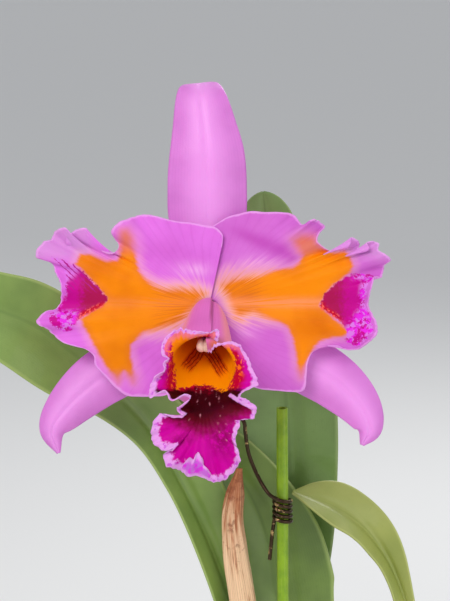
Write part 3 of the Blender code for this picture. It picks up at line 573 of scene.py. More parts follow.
print("margin points:", len(LEFT_PETAL_MARGIN), len(RIGHT_PETAL_MARGIN))

# %% The petals' shape
PETAL_CLAW = 3.0
PETAL_LEAN = math.radians(88)
ARCH_RISE, ARCH_FALL, ARCH_BESIDE = 0.17, 0.0022, 0.0012
GROOVE_DEPTH, GROOVE_WIDTH = 1.6, 5.0
WAVE_HEIGHT, WAVE_POINTS = 2.4, 5.3
CRIMP_HEIGHT, DRAPE_HEIGHT, JAG_LENGTH = 1.1, 0.5, 0.45


def calmed(rows, reach):
    """The same rows with each point averaged over its neighbours, so that small frills go."""
    calm = []
    last = len(rows) - 1
    for k in range(len(rows)):
        span = min(reach, k, last - k)
        near = rows[k - span:k + span + 1]
        calm.append(sum(near, rows[0] * 0.0) / len(near))
    return calm


def petal_rule(margin, level, lap, seed):
    """A petal's point (s, t): s round the margin, t from the claw out to the frilled edge."""
    rows = vectors(margin)
    calm_rows = calmed(rows, 5)
    way = math.copysign(1.0, rows[len(rows) // 2].y)

    def rule(s, t):
        angle, right, up = blend(rows, s)
        calm = blend(calm_rows, s)
        turn = math.radians(calm.x)
        ray = Vector((way * math.sin(turn), math.cos(turn)))
        start, end = ray * PETAL_CLAW, Vector(calm[1:])
        bend = ray * (PETAL_CLAW + 0.5 * end.length)
        spot = start * (1 - t) ** 2 + bend * 2 * t * (1 - t) + end * t * t
        spot += (Vector((right, up)) - end) * t**6
        along = way * spot.x * math.sin(PETAL_LEAN) + spot.y * math.cos(PETAL_LEAN)
        beside = spot.y * math.sin(PETAL_LEAN) - way * spot.x * math.cos(PETAL_LEAN)
        arch = ARCH_RISE * ramp(angle, 0, 45) * along - ARCH_FALL * along * along
        arch -= ARCH_BESIDE * beside * beside
        groove = -GROOVE_DEPTH * math.exp(-((beside / GROOVE_WIDTH) ** 2)) * ramp(along, 4, 30)
        ruffled = ramp(angle, 28, 48) * (1.0 - 0.8 * ramp(angle, 104, 118))
        waves = s * (len(rows) - 1) / WAVE_POINTS
        wave = WAVE_HEIGHT * t**5 * math.sin(2.0 * math.pi * waves)
        crimp = CRIMP_HEIGHT * t**9 * noise.noise(Vector((s * len(rows) * 0.9, seed, 0.0)))
        drape = DRAPE_HEIGHT * t * noise.noise(Vector((spot.x * 0.06, spot.y * 0.06, seed)))
        over = lap * t * (1.0 - ramp(angle, -12, 25))
        lift = level + arch + groove + (wave + crimp) * ruffled + drape + over
        cut = noise.noise(Vector((s * len(rows) * 2.7, seed, 4.0)))
        jag = JAG_LENGTH * t**10 * ruffled * cut
        return Vector((spot.x + ray.x * jag, spot.y + ray.y * jag, lift))

    return rule


print("a petal's tip:", petal_rule(LEFT_PETAL_MARGIN, -2.2, 1.3, 1.0)(0.5, 1.0))

# %% [markdown]
# The petals' colours lie in patches: an orange flare along the midrib, with arms up and down, and a
# crimson wedge at the tip. A patch is drawn as an outline of chosen points, as the flower is seen from
# in front, and each vertex stores how deep inside the outline it lies, or how far outside. The finish
# turns that distance into a soft or feathered edge. Smaller marks are blots round a chosen point, and
# belts between two limits, which are made for all the vertices at once.

# %% Patches of colour
LEFT_FLARE = [
    (-35, 33), (-33, 30), (-32.5, 25.5), (-31.5, 21.5), (-30, 15), (-27, 11.5), (-23.5, 9),
    (-18.5, 7.5), (-12, 8), (-6, 7.5), (-1, 5.5), (-6.5, -1.5), (-11.5, -6), (-15, -8),
    (-23.5, -10.5), (-28, -11.5), (-31, -14), (-33.5, -17), (-33.5, -22.5), (-32, -30.5),
    (-32.5, -33), (-36.5, -28), (-39, -33), (-44, -26.5), (-47.5, -20), (-50, -16),
    (-52.5, -11), (-55.5, -6), (-51, -2.5), (-46.5, 0), (-43.5, 3.5), (-47.5, 7.5),
    (-51, 11.5), (-54, 15), (-57.5, 18), (-55.5, 22), (-51, 22.5), (-47.5, 21), (-44, 19.5),
    (-39.5, 19.5), (-38.5, 21.5), (-38.5, 25.5), (-38.5, 29.5), (-37.5, 32.5),
]
LEFT_WEDGE = [
    (-43.5, 3.5), (-47.5, 8), (-52.5, 13.5), (-56, 16.5), (-61.5, 19.5), (-67.5, 21),
    (-63, 17.5), (-61.5, 13), (-61.5, 7.5), (-62.5, 3), (-65.5, -1.5), (-69, -4.5), (-67.5, -8),
    (-63, -11), (-59.5, -10.5), (-57, -7), (-54.5, -4.5), (-50, -2.5), (-45.5, 0),
]
RIGHT_FLARE = [
    (5, 9.5), (9.5, 12.5), (15, 13), (21.5, 13.5), (28.5, 15.5), (36, 16.5), (39, 18.5),
    (40, 21.5), (37.5, 25.5), (36, 28.5), (39.5, 30.5), (45, 30), (47, 27), (50.5, 24),
    (53.5, 23), (58.5, 23.5), (60.5, 21), (62, 17.5), (61, 15), (57, 11.5), (53, 8.5),
    (49.5, 4.5), (47.5, 0), (51.5, -3.5), (55.5, -7), (59, -9.5), (60, -11.5), (57, -13),
    (53, -13.5), (48, -15), (45, -18), (43, -22), (41, -26), (39.5, -30.5), (38, -26.5),
    (37.5, -21.5), (36.5, -16.5), (35.5, -12.5), (34, -9), (30.5, -7), (25, -5.5), (19, -3.5),
    (14, -5), (11.5, -4.5), (9.5, -1), (7.5, 4), (5.5, 6.5),
]
RIGHT_WEDGE = [
    (47.5, 0), (49.5, 4.5), (53, 8.5), (57, 11.5), (61, 13.5), (64, 14), (71, 13), (67.5, 7.5),
    (67, 0.5), (69.5, -5.5), (70.5, -10), (68, -14), (64, -17), (60.5, -16.5), (58.5, -13.5),
    (59.5, -11), (57, -7), (53.5, -4.5), (49.5, -2),
]


def seen_in_front(spots):
    """Where points of the flower appear from the camera, right and up from the flower's centre."""
    aim = np.array(CAMERA_AIM[:2])
    nearer = 1.0 - spots[:, 2:3] / CAMERA_DISTANCE
    return (spots[:, :2] - aim) / nearer + aim


def depth_inside(points, outline):
    """How far each point lies inside a closed outline, in millimetres; outside is negative."""
    corners = np.array(outline, dtype=float)
    nearest = np.full(len(points), np.inf)
    inside = np.zeros(len(points), dtype=bool)
    x, y = points[:, 0], points[:, 1]
    for (x1, y1), (x2, y2) in zip(corners, np.roll(corners, -1, axis=0)):
        edge_x, edge_y = x2 - x1, y2 - y1
        share = ((x - x1) * edge_x + (y - y1) * edge_y) / (edge_x**2 + edge_y**2)
        share = np.clip(share, 0.0, 1.0)
        gap = np.hypot(x - x1 - share * edge_x, y - y1 - share * edge_y)
        nearest = np.minimum(nearest, gap)
        if y1 != y2:
            crosses = (y1 > y) != (y2 > y)
            inside ^= crosses & (x < x1 + (y - y1) * edge_x / edge_y)
    return np.where(inside, nearest, -nearest)


print("depth at the left flare's heart:", depth_inside(np.array([[-45.0, 10.0]]), LEFT_FLARE))

# %% [markdown]
# The finish itself is laid in coats, as a painter would: first the pink ground with its veins, then a
# peach halo where the flare begins, the orange flare with its dusky border, the salmon midrib, and the
# wedge at the tip, which turns from crimson to magenta and ends in lilac that is blotched with
# magenta. A spotted red band follows the wedge's lower edge, and thin dark lines run across the left
# one's upper arm. Last comes the thin pale rim of the margin. The backs of the petals are plain pink.

# %% The petals' finish
# The right petal's ground is a dimmer copy of the pink, as painted shade.
PETAL_PINK, PETAL_PINK_SHADED, PETAL_DEEP = paint(222, 114, 222), paint(208, 108, 206), paint(190, 76, 184)
PETAL_PALE, PETAL_TIP, PETAL_HEM = paint(246, 186, 236), paint(212, 142, 212), paint(236, 172, 236)
FLARE_ORANGE, FLARE_DEEP, FLARE_BROWN = paint(246, 140, 0), paint(222, 114, 0), paint(206, 100, 30)
FLARE_BORDER, FLARE_DUSKY = paint(224, 118, 40), paint(216, 114, 108)
FLARE_PEACH, MIDRIB_SALMON = paint(252, 196, 184), paint(248, 150, 96)
WEDGE_CRIMSON, WEDGE_MAGENTA, WEDGE_LINE = paint(172, 16, 84), paint(196, 0, 144), paint(178, 24, 140)
WEDGE_LILAC, WEDGE_BRIGHT = paint(216, 124, 224), paint(226, 40, 222)
WEDGE_RED, WEDGE_SPARK = paint(196, 0, 40), paint(240, 96, 84)


def petal_veins(tree):
    """The veins that run out along a petal's rays."""
    return use_group(
        tree, sheet_veins, Across=number(tree, "ray"), Along=number(tree, "t"), Count=0.9,
        Wander=0.12,
    )["Vein"]


def petal_finish(name, pink, midrib_strength, turns_from, turns_to):
    """A petal's face; the wedge turns to magenta between two distances from the flower's middle."""
    made, tree, shader = new_finish(name, 0.46, soft=0.2, gloss=0.1)
    spot = place_on(tree)
    tone = petal_body(tree, shader, pink, PETAL_DEEP, petal_veins(tree))
    tone = mixed(tree, number(tree, "tips"), tone, PETAL_TIP)
    # painted shade: a deeper pink wherever the shade number is high
    tone = mixed(tree, number(tree, "shade"), tone, PETAL_DEEP)
    stretched = spread(tree, number(tree, "ray"), sums(tree, "MULTIPLY", number(tree, "t"), 2.2))
    strokes = grain(tree, stretched, 1.15, 3.0, 0.6)
    lit = sums(tree, "MULTIPLY", number(tree, "glow"), rise(tree, strokes, 0.2, 0.75))
    tone = mixed(tree, lit, tone, PETAL_PALE)

    speckle = grain(tree, spot, 700.0, 2.0)
    near, arm, flare = number(tree, "near"), number(tree, "arm"), number(tree, "flare")
    fringe = sums(tree, "MULTIPLY_ADD", near, 6.0, 2.2)
    softness = sums(tree, "MULTIPLY_ADD", arm, 1.8, sums(tree, "MULTIPLY_ADD", near, 1.8, 1.0))
    halo = use_group(
        tree, feathered_patch, Inside=sums(tree, "ADD", flare, 2.6), Strokes=strokes, Fringe=fringe,
        Softness=sums(tree, "ADD", softness, 0.8),
    )["Patch"]
    halo = sums(tree, "MULTIPLY", halo, sums(tree, "MULTIPLY_ADD", near, 0.65, 0.2))
    tone = mixed(tree, halo, tone, FLARE_PEACH)
    patch = use_group(
        tree, feathered_patch, Inside=flare, Strokes=strokes, Fringe=fringe, Softness=softness,
    )["Patch"]
    cloud = grain(tree, spot, 55.0, 2.0)
    burnt = sums(tree, "MULTIPLY_ADD", rise(tree, cloud, 0.45, 0.7), 0.5, number(tree, "burnt"))
    orange = mixed(tree, burnt, FLARE_ORANGE, FLARE_DEEP)
    far = sums(tree, "SUBTRACT", 1.0, near)
    border = sums(tree, "MULTIPLY", rise(tree, flare, 4.0, -0.5), far)
    orange = coated(tree, orange, FLARE_BORDER, border, 0.6)
    orange = coated(tree, orange, FLARE_DUSKY, arm, 0.85)
    browned = sums(tree, "MULTIPLY", rise(tree, near, 0.3, 1.0), rise(tree, strokes, 0.4, 0.66))
    orange = coated(tree, orange, FLARE_BROWN, browned, 0.6)
    rib = sums(tree, "MULTIPLY", number(tree, "midrib"), midrib_strength)
    rib = sums(tree, "MULTIPLY", rib, rise(tree, strokes, 0.3, 0.5))
    orange = mixed(tree, rib, orange, MIDRIB_SALMON)
    tone = mixed(tree, patch, tone, orange)

    dark = use_group(
        tree, feathered_patch, Inside=number(tree, "wedge"), Strokes=speckle, Fringe=3.2,
        Softness=0.4,
    )["Patch"]
    outwards = swayed(tree, number(tree, "outwards"), speckle, 8.0)
    ripe = mixed(tree, rise(tree, outwards, turns_from, turns_to), WEDGE_CRIMSON, WEDGE_MAGENTA)
    mottle = grain(tree, spot, 420.0, 3.0, 0.6)
    blotch = grain(tree, spot, 260.0, 4.0, 0.75)
    blotched = mixed(tree, rise(tree, mottle, 0.47, 0.55), WEDGE_LILAC, WEDGE_BRIGHT)
    blotched = mixed(tree, rise(tree, blotch, 0.5, 0.56), blotched, WEDGE_MAGENTA)
    ripe = mixed(tree, number(tree, "mottled"), ripe, blotched)
    ripe = coated(tree, ripe, WEDGE_LILAC, number(tree, "bare"), 0.85)
    lines = use_group(
        tree, sheet_veins, Across=sums(tree, "MULTIPLY_ADD", mottle, 1.6, number(tree, "aslant")),
        Along=number(tree, "outwards"), Count=0.55, Wander=0.0,
    )["Vein"]
    lines = sums(tree, "MULTIPLY", rise(tree, lines, 0.0, 0.12), number(tree, "lined"))
    ripe = mixed(tree, lines, ripe, WEDGE_LINE)
    sparks = mixed(tree, rise(tree, speckle, 0.5, 0.6), WEDGE_RED, WEDGE_SPARK)
    ripe = mixed(tree, number(tree, "lower"), ripe, sparks)
    tone = mixed(tree, dark, tone, ripe)

    rim = swayed(tree, number(tree, "hem"), mottle, 1.2)
    tone = coated(tree, tone, PETAL_HEM, rise(tree, rim, 1.2, 0.4), 0.6)
    feed(tree, shader.inputs["Base Color"], tone)
    return made


def petal_back_finish():
    made, tree, shader = new_finish("petal_back", 0.46, sheen=0.1, soft=0.2, gloss=0.3)
    tone = petal_body(tree, shader, paint(224, 140, 224), paint(200, 108, 198), petal_veins(tree))
    glow = sums(tree, "MULTIPLY", rise(tree, number(tree, "flare"), -1.0, 4.0), 0.35)
    feed(tree, shader.inputs["Base Color"], mixed(tree, glow, tone, paint(236, 160, 130)))
    return made


# The right petal's face takes the dimmer pink, as painted shade.
petal_fronts = {"left": petal_finish("petal_left_front", PETAL_PINK, 0.25, 52.0, 57.0),
                "right": petal_finish("petal_right_front", PETAL_PINK_SHADED, 0.85, 54.0, 61.0)}
petal_back = petal_back_finish()
print("finishes:", [finish.name for finish in petal_fronts.values()])

# %% The two petals
CELLS_A_POINT = 5
EDGE_CROWDING = 1.15
# Two points that end a band of painted shade on the right petal's upper lobe.
SHADE_BAND_START, SHADE_BAND_STOP = np.array([5.6, 34.8]), np.array([38.3, 20.6])


def steps(values, low, high):
    """ramp for a whole row of numbers."""
    share = np.clip((values - low) / (high - low), 0.0, 1.0)
    return share * share * (3.0 - 2.0 * share)


def blot(seen, middle, reach):
    """1 at a spot and fading to 0 round it, over the reach to the side and up."""
    apart = (seen - np.array(middle)) / np.array(reach)
    return np.exp(-np.sum(apart * apart, axis=1))


def petal_numbers(spots, shares, margin, flare, wedge):
    """The numbers that both petals' finishes read, by name, and where the points are seen."""
    seen = seen_in_front(spots)
    out, up = np.abs(seen[:, 0]), seen[:, 1]
    depth = depth_inside(seen, wedge)
    band = (1.0 - steps(depth, 1.0, 2.6)) * steps(-up, -2.5, -0.5)
    return seen, {
        "ray": shares[:, 0] * len(margin),
        "flare": depth_inside(seen, flare),
        "wedge": depth,
        "near": 1.0 - steps(out, 16.0, 34.0),
        "outwards": out,
        "aslant": 0.69 * out - 0.72 * up,
        "tips": 0.85 * steps(out, 47.0, 55.0) * steps(up, 17.0, 23.0),
        "midrib": np.exp(-(((up - 1.5) / 2.2) ** 2)) * steps(out, 4.0, 9.0),
        "lower": band * (1.0 - steps(out, 54.0, 59.0)),
        "hem": (1.0 - shares[:, 1]) ** EDGE_CROWDING * np.linalg.norm(spots[:, :2], axis=1),
    }


def dress_petal(side, margin, level, lap, seed, flare, wedge, extra):
    """Make a petal; extra gives the numbers that only this side needs."""
    rule = petal_rule(margin, level, lap, seed)
    cells = (len(margin) - 1) * CELLS_A_POINT
    petal, spots, shares = make_sheet(
        f"petal_{side}_skin", cells, 58, lambda s, t: rule(s, 1.0 - (1.0 - t) ** EDGE_CROWDING),
        SHEET_THICKNESS, [petal_fronts[side], petal_back], flower_axes, turned=side == "left",
    )
    seen, numbers = petal_numbers(spots, shares, margin, flare, wedge)
    numbers.update(extra(seen, numbers))
    for name, values in numbers.items():
        write_number(petal, name, values)
    settle(petal, "petal", f"petal_{side}")


def left_numbers(seen, numbers):
    """A dark shade, two pale glows, the dusky arms and the wedge's lines, as the left side has them."""
    out, up, depth = numbers["outwards"], seen[:, 1], numbers["wedge"]
    lower_tip = steps(-up, 0.5, 3.5) * steps(out, 54.0, 58.0)
    outer_edge = (1.0 - steps(depth, 0.3, 1.6)) * steps(out, 58.0, 61.0)
    return {
        "shade": 0.35 * blot(seen, (-20, 24), (12, 5)),
        "glow": 0.85 * blot(seen, (-7, 15.5), (7, 3.2)) + 0.4 * blot(seen, (-24, -13), (5, 3)),
        "burnt": 0.9 * blot(seen, (-48, 17), (9, 6)),
        "arm": steps(up, 20.0, 27.0) * (1.0 - steps(out, 41.0, 44.0)) + steps(-up, 26.0, 32.0),
        "mottled": np.maximum(lower_tip, outer_edge),
        "bare": steps(up, 9.0, 13.0) * steps(out + 0.8 * up, 66.0, 70.0),
        "lined": steps(up, 5.0, 8.0) * (1.0 - steps(depth, 3.4, 5.0)),
    }


def right_numbers(seen, numbers):
    """The right side has a band of painted shade along its upper edge, between two points, and no
    lines.
    """
    out, up, depth = numbers["outwards"], seen[:, 1], numbers["wedge"]
    band = SHADE_BAND_STOP - SHADE_BAND_START
    length = np.hypot(*band)
    along = (seen - SHADE_BAND_START) @ band / length
    beside = (seen - SHADE_BAND_START) @ np.array([-band[1], band[0]]) / length
    # painted shade: a dark band round the line between the two points
    dusk = np.exp(-((beside / (2.0 + 0.07 * np.clip(along, 0.0, length))) ** 2))
    ends = steps(along, -2.0, 14.0) * (1.0 - steps(along, length - 3.0, length + 3.0))
    tip = steps(out - 0.7 * up, 63.5, 67.0)
    outer_edge = (1.0 - steps(depth, 1.4, 4.0)) * steps(out, 60.0, 64.0)
    return {
        "shade": 0.95 * dusk * ends,
        "glow": 0.5 * blot(seen, (21, 18.5), (10, 3.0)) + 0.5 * blot(seen, (16, -11), (6, 3.6)),
        "burnt": 0.8 * blot(seen, (45, -10), (10, 6)),
        "arm": steps(up + 0.35 * (44.0 - out), 21.0, 25.0) + steps(-up, 24.0, 30.0),
        "mottled": np.maximum(tip, outer_edge),
    }


dress_petal("left", LEFT_PETAL_MARGIN, -2.2, 1.3, 3.7, LEFT_FLARE, LEFT_WEDGE, left_numbers)
dress_petal("right", RIGHT_PETAL_MARGIN, -3.4, -1.3, 8.2, RIGHT_FLARE, RIGHT_WEDGE, right_numbers)

# %% [markdown]
# The lip is one petal rolled into a tube round the column. It opens into a trumpet with two side
# lobes and a long front lobe, and its whole margin is frilled. The rule goes once round the tube: the
# sheet leaves a narrow foot, widens to the mouth, and then each ray bends over to its own point of
# the margin. The two edges meet in a seam on top of the hood, one just over the other. Two low folds
# come last: one at the front lobe's lower left, and a ruffle that runs in from its upper right.

# %% The lip's margin and shape
LIP_MARGIN = [
    (-192, 3.5, -14.5, 31), (-188, 4.5, -12, 32.5), (-182, 3.5, -9.5, 33), (-176, 1, -11, 32),
    (-168, -2.5, -10.5, 33), (-158, -6, -10, 32), (-148, -9.5, -9.5, 33), (-138, -13, -9.5, 32),
    (-129, -17, -12, 33), (-121, -19, -15.5, 32.5), (-114, -19, -20, 34),
    (-108, -16, -21.5, 35.5), (-101, -18.5, -23, 34.5), (-94, -18, -26.5, 36),
    (-87, -21.5, -28.5, 37), (-80, -24, -33.5, 36), (-72, -24, -37.5, 38),
    (-64, -20.5, -35.5, 40), (-57, -17.5, -34.5, 41), (-50, -15, -38.5, 42),
    (-42, -10, -36, 43.5), (-34, -7, -37, 43.5), (-27, -11, -40.5, 41.5), (-22, -13, -42, 39.5),
    (-18, -10.5, -45.5, 39), (-17, -15.5, -45, 40.5), (-16, -20, -44, 39), (-15, -23, -49.5, 41),
    (-14, -23, -55, 38.5), (-12.5, -19, -58.5, 41), (-11, -14.5, -58.5, 42),
    (-9.5, -18.5, -61, 38), (-8, -16.5, -65.5, 40), (-6, -11.5, -67, 37), (-4, -8, -69, 40.5),
    (-2, -4.5, -68.5, 37.5), (0, 0, -71, 39.5), (3, 4.5, -72, 36.5), (6, 9, -69, 39),
    (8, 12.5, -65, 36.5), (10, 12.5, -59.5, 39.5), (12, 11, -55.5, 38), (14, 12.5, -50, 40),
    (17, 13.5, -46.5, 39), (22, 18.5, -45.5, 42), (30, 19.5, -41.5, 41), (38, 17, -38.5, 43),
    (45, 13, -36.6, 42), (52, 15, -34.4, 40), (64, 20.5, -32, 38.5), (78, 19, -27.5, 36),
    (92, 17, -22.5, 35.5), (106, 14.5, -18, 33.5), (122, 11.5, -15, 33.5), (138, 8, -14.5, 32),
    (152, 4.5, -16, 31), (166, 2, -18, 29), (176, 0, -19.5, 27.5),
]
LIP_MOUTH, LIP_MOUTH_RADIUS = Vector((-2.0, -26.5, 30.0)), 13.6
LIP_FOOT, LIP_FOOT_RADIUS = Vector((0.0, -2.4, -0.6)), 4.6
LIP_NECK = Vector((-1.5, -52.0, 46.0))
LIP_FOLD, LIP_FOLD_HEIGHT, LIP_FOLD_REACH = Vector((-5.0, -64.0)), 2.4, Vector((3.4, 5.0))
RUFFLE_START, RUFFLE_STOP = Vector((9.0, -36.6)), Vector((18.5, -41.5))
RUFFLE_HEIGHT, RUFFLE_WIDTH, RUFFLE_HEM = 1.6, 1.7, 0.75
LIP_TUBE_SHARE = 0.45
LIP_LAP = 0.65
LIP_KICK_OUT, LIP_KICK_AHEAD, LIP_NECK_SHARE = 0.11, 0.45, 0.55
LIP_CRIMP, LIP_FRAY = 1.8, 1.1
LIP_FRILL_WAY = Vector((0.25, 0.2, 1.0))
lip_rows = vectors(LIP_MARGIN)
lip_calm = calmed(lip_rows, 2)


def beside_ruffle(x, y):
    """How far a point lies from the ruffle that runs in from the lobe's upper right."""
    run = RUFFLE_STOP - RUFFLE_START
    apart = Vector((x, y)) - RUFFLE_START
    share = min(max(apart.dot(run) / run.length_squared, 0.0), 1.0)
    return (apart - run * share).length


def lip_rule(s, t):
    """The lip's point (s, t): s once round and a little over, t from its foot out to the frill."""
    row = blend(lip_rows, s)
    bearing, true_edge = row[0], Vector(row[1:])
    edge = Vector(blend(lip_calm, s)[1:])
    turn = math.radians(bearing)
    spoke = Vector((math.sin(turn), -math.cos(turn), 0.0))
    lap = LIP_LAP * (2.0 * s - 1.0)
    share = min(t / LIP_TUBE_SHARE, 1.0)
    radius = LIP_FOOT_RADIUS + (LIP_MOUTH_RADIUS - LIP_FOOT_RADIUS) * share**0.55 - lap
    wall = LIP_FOOT.lerp(LIP_MOUTH, share) + spoke * radius
    if t <= LIP_TUBE_SHARE:
        return wall
    flare = (t - LIP_TUBE_SHARE) / (1.0 - LIP_TUBE_SHARE)
    length = (edge - wall).length
    kick = wall + spoke * length * LIP_KICK_OUT
    kick += Vector((0, -0.3, 1.0)).normalized() * length * LIP_KICK_AHEAD
    neck = LIP_NECK - wall
    neck *= min(1.0, LIP_NECK_SHARE * length / neck.length)
    bend = (wall + neck).lerp(kick, ramp(abs(bearing), 18, 60))
    spot = wall * (1 - flare) ** 2 + bend * 2 * flare * (1 - flare) + edge * flare**2
    spot += (true_edge - edge) * flare**4
    crimp = noise.noise(Vector((s * 95.0, 2.3, 0.0))) * LIP_CRIMP * flare**5
    fine = noise.noise(Vector((s * 190.0, 7.1, 0.0))) * flare**8
    fray = noise.noise(Vector((s * 160.0, 5.0, 0.0)))
    spot += (edge - wall) / length * fray * LIP_FRAY * flare**9
    apart = spot.xy - LIP_FOLD
    reach = LIP_FOLD_REACH
    fold = LIP_FOLD_HEIGHT * math.exp(-((apart.x / reach.x) ** 2) - (apart.y / reach.y) ** 2)
    ruffle = math.exp(-((beside_ruffle(spot.x, spot.y) / RUFFLE_WIDTH) ** 2))
    fold += RUFFLE_HEIGHT * ruffle * ramp(flare, 0.2, 0.5)
    return spot + LIP_FRILL_WAY * (crimp + fine) + Vector((0, 0, fold))


print("the lip's lowest point:", lip_rule(0.65, 1.0))

# %% [markdown]
# Inside, the lip is painted more richly than any other part: a golden throat with two bundles of
# red-brown stripes, a crimson rim round it that the gold breaks into as specks, a nearly black band
# below, and a front lobe that runs from wine red to bright magenta, with a pale lilac hem that is wide
# on the front lobe, thin elsewhere, and also follows the ruffle. Outside it is pink again. The places
# are stored as numbers once more: how deep a point lies inside the throat's outline, its height on the
# lobe, its distance from the hem counted in hem widths, how far it lies beside a bundle of stripes,
# and a few blots and flecks.

# %% The lip's finish
LIP_THROAT = [
    (-16, -13), (-11.5, -11.5), (-8.5, -11), (-4.5, -13), (-0.5, -14.5), (4, -17), (9.5, -18.5),
    (11.5, -22), (12, -27), (9.5, -33), (7.5, -36.5), (4, -36), (0.5, -34.5), (-3, -34),
    (-6.5, -34.5), (-11.5, -35.5), (-14, -36), (-14.5, -31.5), (-15, -27), (-16, -20.5),
]
LIP_HEM_WIDTHS = [
    (-192, 1.6), (-110, 1.4), (-94, 1.6), (-84, 3.0), (-72, 3.4), (-62, 1.8), (-50, 1.3),
    (-28, 1.2), (-20, 2.0), (-15, 3.4), (-9, 4.0), (-4, 3.8), (2, 2.8), (9, 2.2), (14, 1.7),
    (30, 1.8), (45, 1.6), (55, 2.6), (66, 2.8), (78, 1.6), (110, 1.2), (176, 1.2),
]
LOBE_TOP, LOBE_MIDDLE, LOBE_SLOPES = -36.5, -2.6, (0.45, 0.5)
THROAT_STRIPES = [((-3.1, -18.4), (-10.6, -27.4)), ((-0.5, -18.4), (6.9, -29.8))]
THROAT_GOLD, THROAT_AMBER, THROAT_RUST = paint(252, 144, 0), paint(244, 134, 0), paint(196, 58, 8)
THROAT_SPARK, THROAT_CURL, STRIPE_BROWN = paint(255, 112, 24), paint(212, 100, 48), paint(126, 16, 6)
LIP_CRIMSON, LIP_NIGHT, LIP_WINE = paint(192, 0, 50), paint(58, 0, 10), paint(96, 0, 22)
LIP_DUSK, LIP_PURPLE, LIP_MAGENTA = paint(132, 0, 72), paint(150, 0, 84), paint(202, 0, 158)
LIP_HEM, LIP_LILAC, LIP_FLECK = paint(226, 160, 228), paint(202, 100, 212), paint(206, 130, 146)
LIP_PEACH = paint(236, 122, 134)


def lip_inside_finish():
    made, tree, shader = new_finish("lip_inside", 0.5, soft=0.5, gloss=0.06)
    spot = place_on(tree)
    cells = use_group(tree, living_cells, Place=spot, Cloud_Scale=260.0)
    up = number(tree, "up")
    speckle = grain(tree, spot, 620.0, 2.0, 0.6)
    mottle = grain(tree, spot, 420.0, 3.0, 0.6)
    height = swayed(tree, number(tree, "lobe"), mottle, 6.0)
    tone = mixed(tree, rise(tree, height, -59.0, -52.5), LIP_MAGENTA, LIP_PURPLE)
    tone = mixed(tree, rise(tree, height, -54.5, -49.5), tone, LIP_WINE)
    tone = mixed(tree, rise(tree, height, -51.0, -44.5), tone, LIP_NIGHT)
    dusk = sums(tree, "MULTIPLY", number(tree, "dusk"), rise(tree, mottle, 0.3, 0.55))
    tone = mixed(tree, dusk, tone, LIP_DUSK)
    flecks = sums(tree, "MULTIPLY", number(tree, "flecks"), rise(tree, speckle, 0.45, 0.6))
    tone = mixed(tree, flecks, tone, LIP_FLECK)
    upper = use_group(
        tree, feathered_patch, Inside=number(tree, "side"), Strokes=mottle, Fringe=3.0,
        Softness=1.2,
    )["Patch"]
    hem = number(tree, "hem")
    rim = mixed(tree, rise(tree, hem, 3.4, 1.6), LIP_CRIMSON, LIP_MAGENTA)
    tone = mixed(tree, upper, tone, rim)
    throat = number(tree, "throat")
    sparks = sums(tree, "MULTIPLY", rise(tree, speckle, 0.54, 0.62), rise(tree, throat, -5.0, -0.8))
    sparks = sums(tree, "MULTIPLY", sparks, rise(tree, up, LOBE_TOP, LOBE_TOP + 2.0))
    tone = mixed(tree, sparks, tone, THROAT_SPARK)
    gold = mixed(tree, rise(tree, number(tree, "deep"), 8.0, 24.0), THROAT_AMBER, THROAT_GOLD)
    rusty = sums(tree, "MULTIPLY", number(tree, "rust"), rise(tree, mottle, 0.2, 0.5))
    gold = mixed(tree, rusty, gold, THROAT_RUST)
    beside = swayed(tree, number(tree, "stripes"), grain(tree, spot, 170.0, 1.0), 2.2)
    stripes = use_group(
        tree, sheet_veins, Across=beside, Along=0.0, Count=0.7, Wander=0.0,
    )["Vein"]
    stripes = sums(tree, "MULTIPLY", rise(tree, stripes, 0.0, 0.5), number(tree, "striped"))
    gold = mixed(tree, stripes, gold, STRIPE_BROWN)
    lit = use_group(
        tree, feathered_patch, Inside=throat, Strokes=speckle, Fringe=4.5, Softness=0.5,
    )["Patch"]
    tone = mixed(tree, lit, tone, gold)
    peachy = sums(tree, "MULTIPLY", rise(tree, hem, 3.2, 1.4), number(tree, "brow"))
    tone = mixed(tree, peachy, tone, LIP_PEACH)
    torn = swayed(tree, hem, mottle, number(tree, "torn"))
    pale = mixed(tree, rise(tree, mottle, 0.5, 0.62), LIP_HEM, LIP_LILAC)
    pale = mixed(tree, rise(tree, torn, 0.7, 0.3), pale, LIP_HEM)
    tone = mixed(tree, rise(tree, torn, 1.25, 0.75), tone, pale)
    feed(tree, shader.inputs["Base Color"], tone)
    feed(tree, shader.inputs["Normal"], bump(tree, cells["Height"], 0.3, 0.00012))
    return made


def lip_outside_finish():
    made, tree, shader = new_finish("lip_outside", 0.46, sheen=0.1, soft=0.2, gloss=0.3)
    across, along = number(tree, "s"), number(tree, "t")
    veins = use_group(tree, sheet_veins, Across=across, Along=along, Count=70.0, Wander=0.12)["Vein"]
    tone = petal_body(tree, shader, paint(224, 110, 192), paint(200, 84, 168), veins)
    tone = coated(tree, tone, paint(240, 144, 156), number(tree, "cheek"), 0.75)
    tone = coated(tree, tone, paint(158, 60, 110), number(tree, "seam"), 0.85)
    tone = mixed(tree, number(tree, "curl"), tone, THROAT_CURL)
    tone = mixed(tree, rise(tree, number(tree, "hem"), 1.4, 0.8), tone, LIP_HEM)
    feed(tree, shader.inputs["Base Color"], tone)
    return made


lip_inside, lip_outside = lip_inside_finish(), lip_outside_finish()
print("finishes:", lip_inside.name, lip_outside.name)

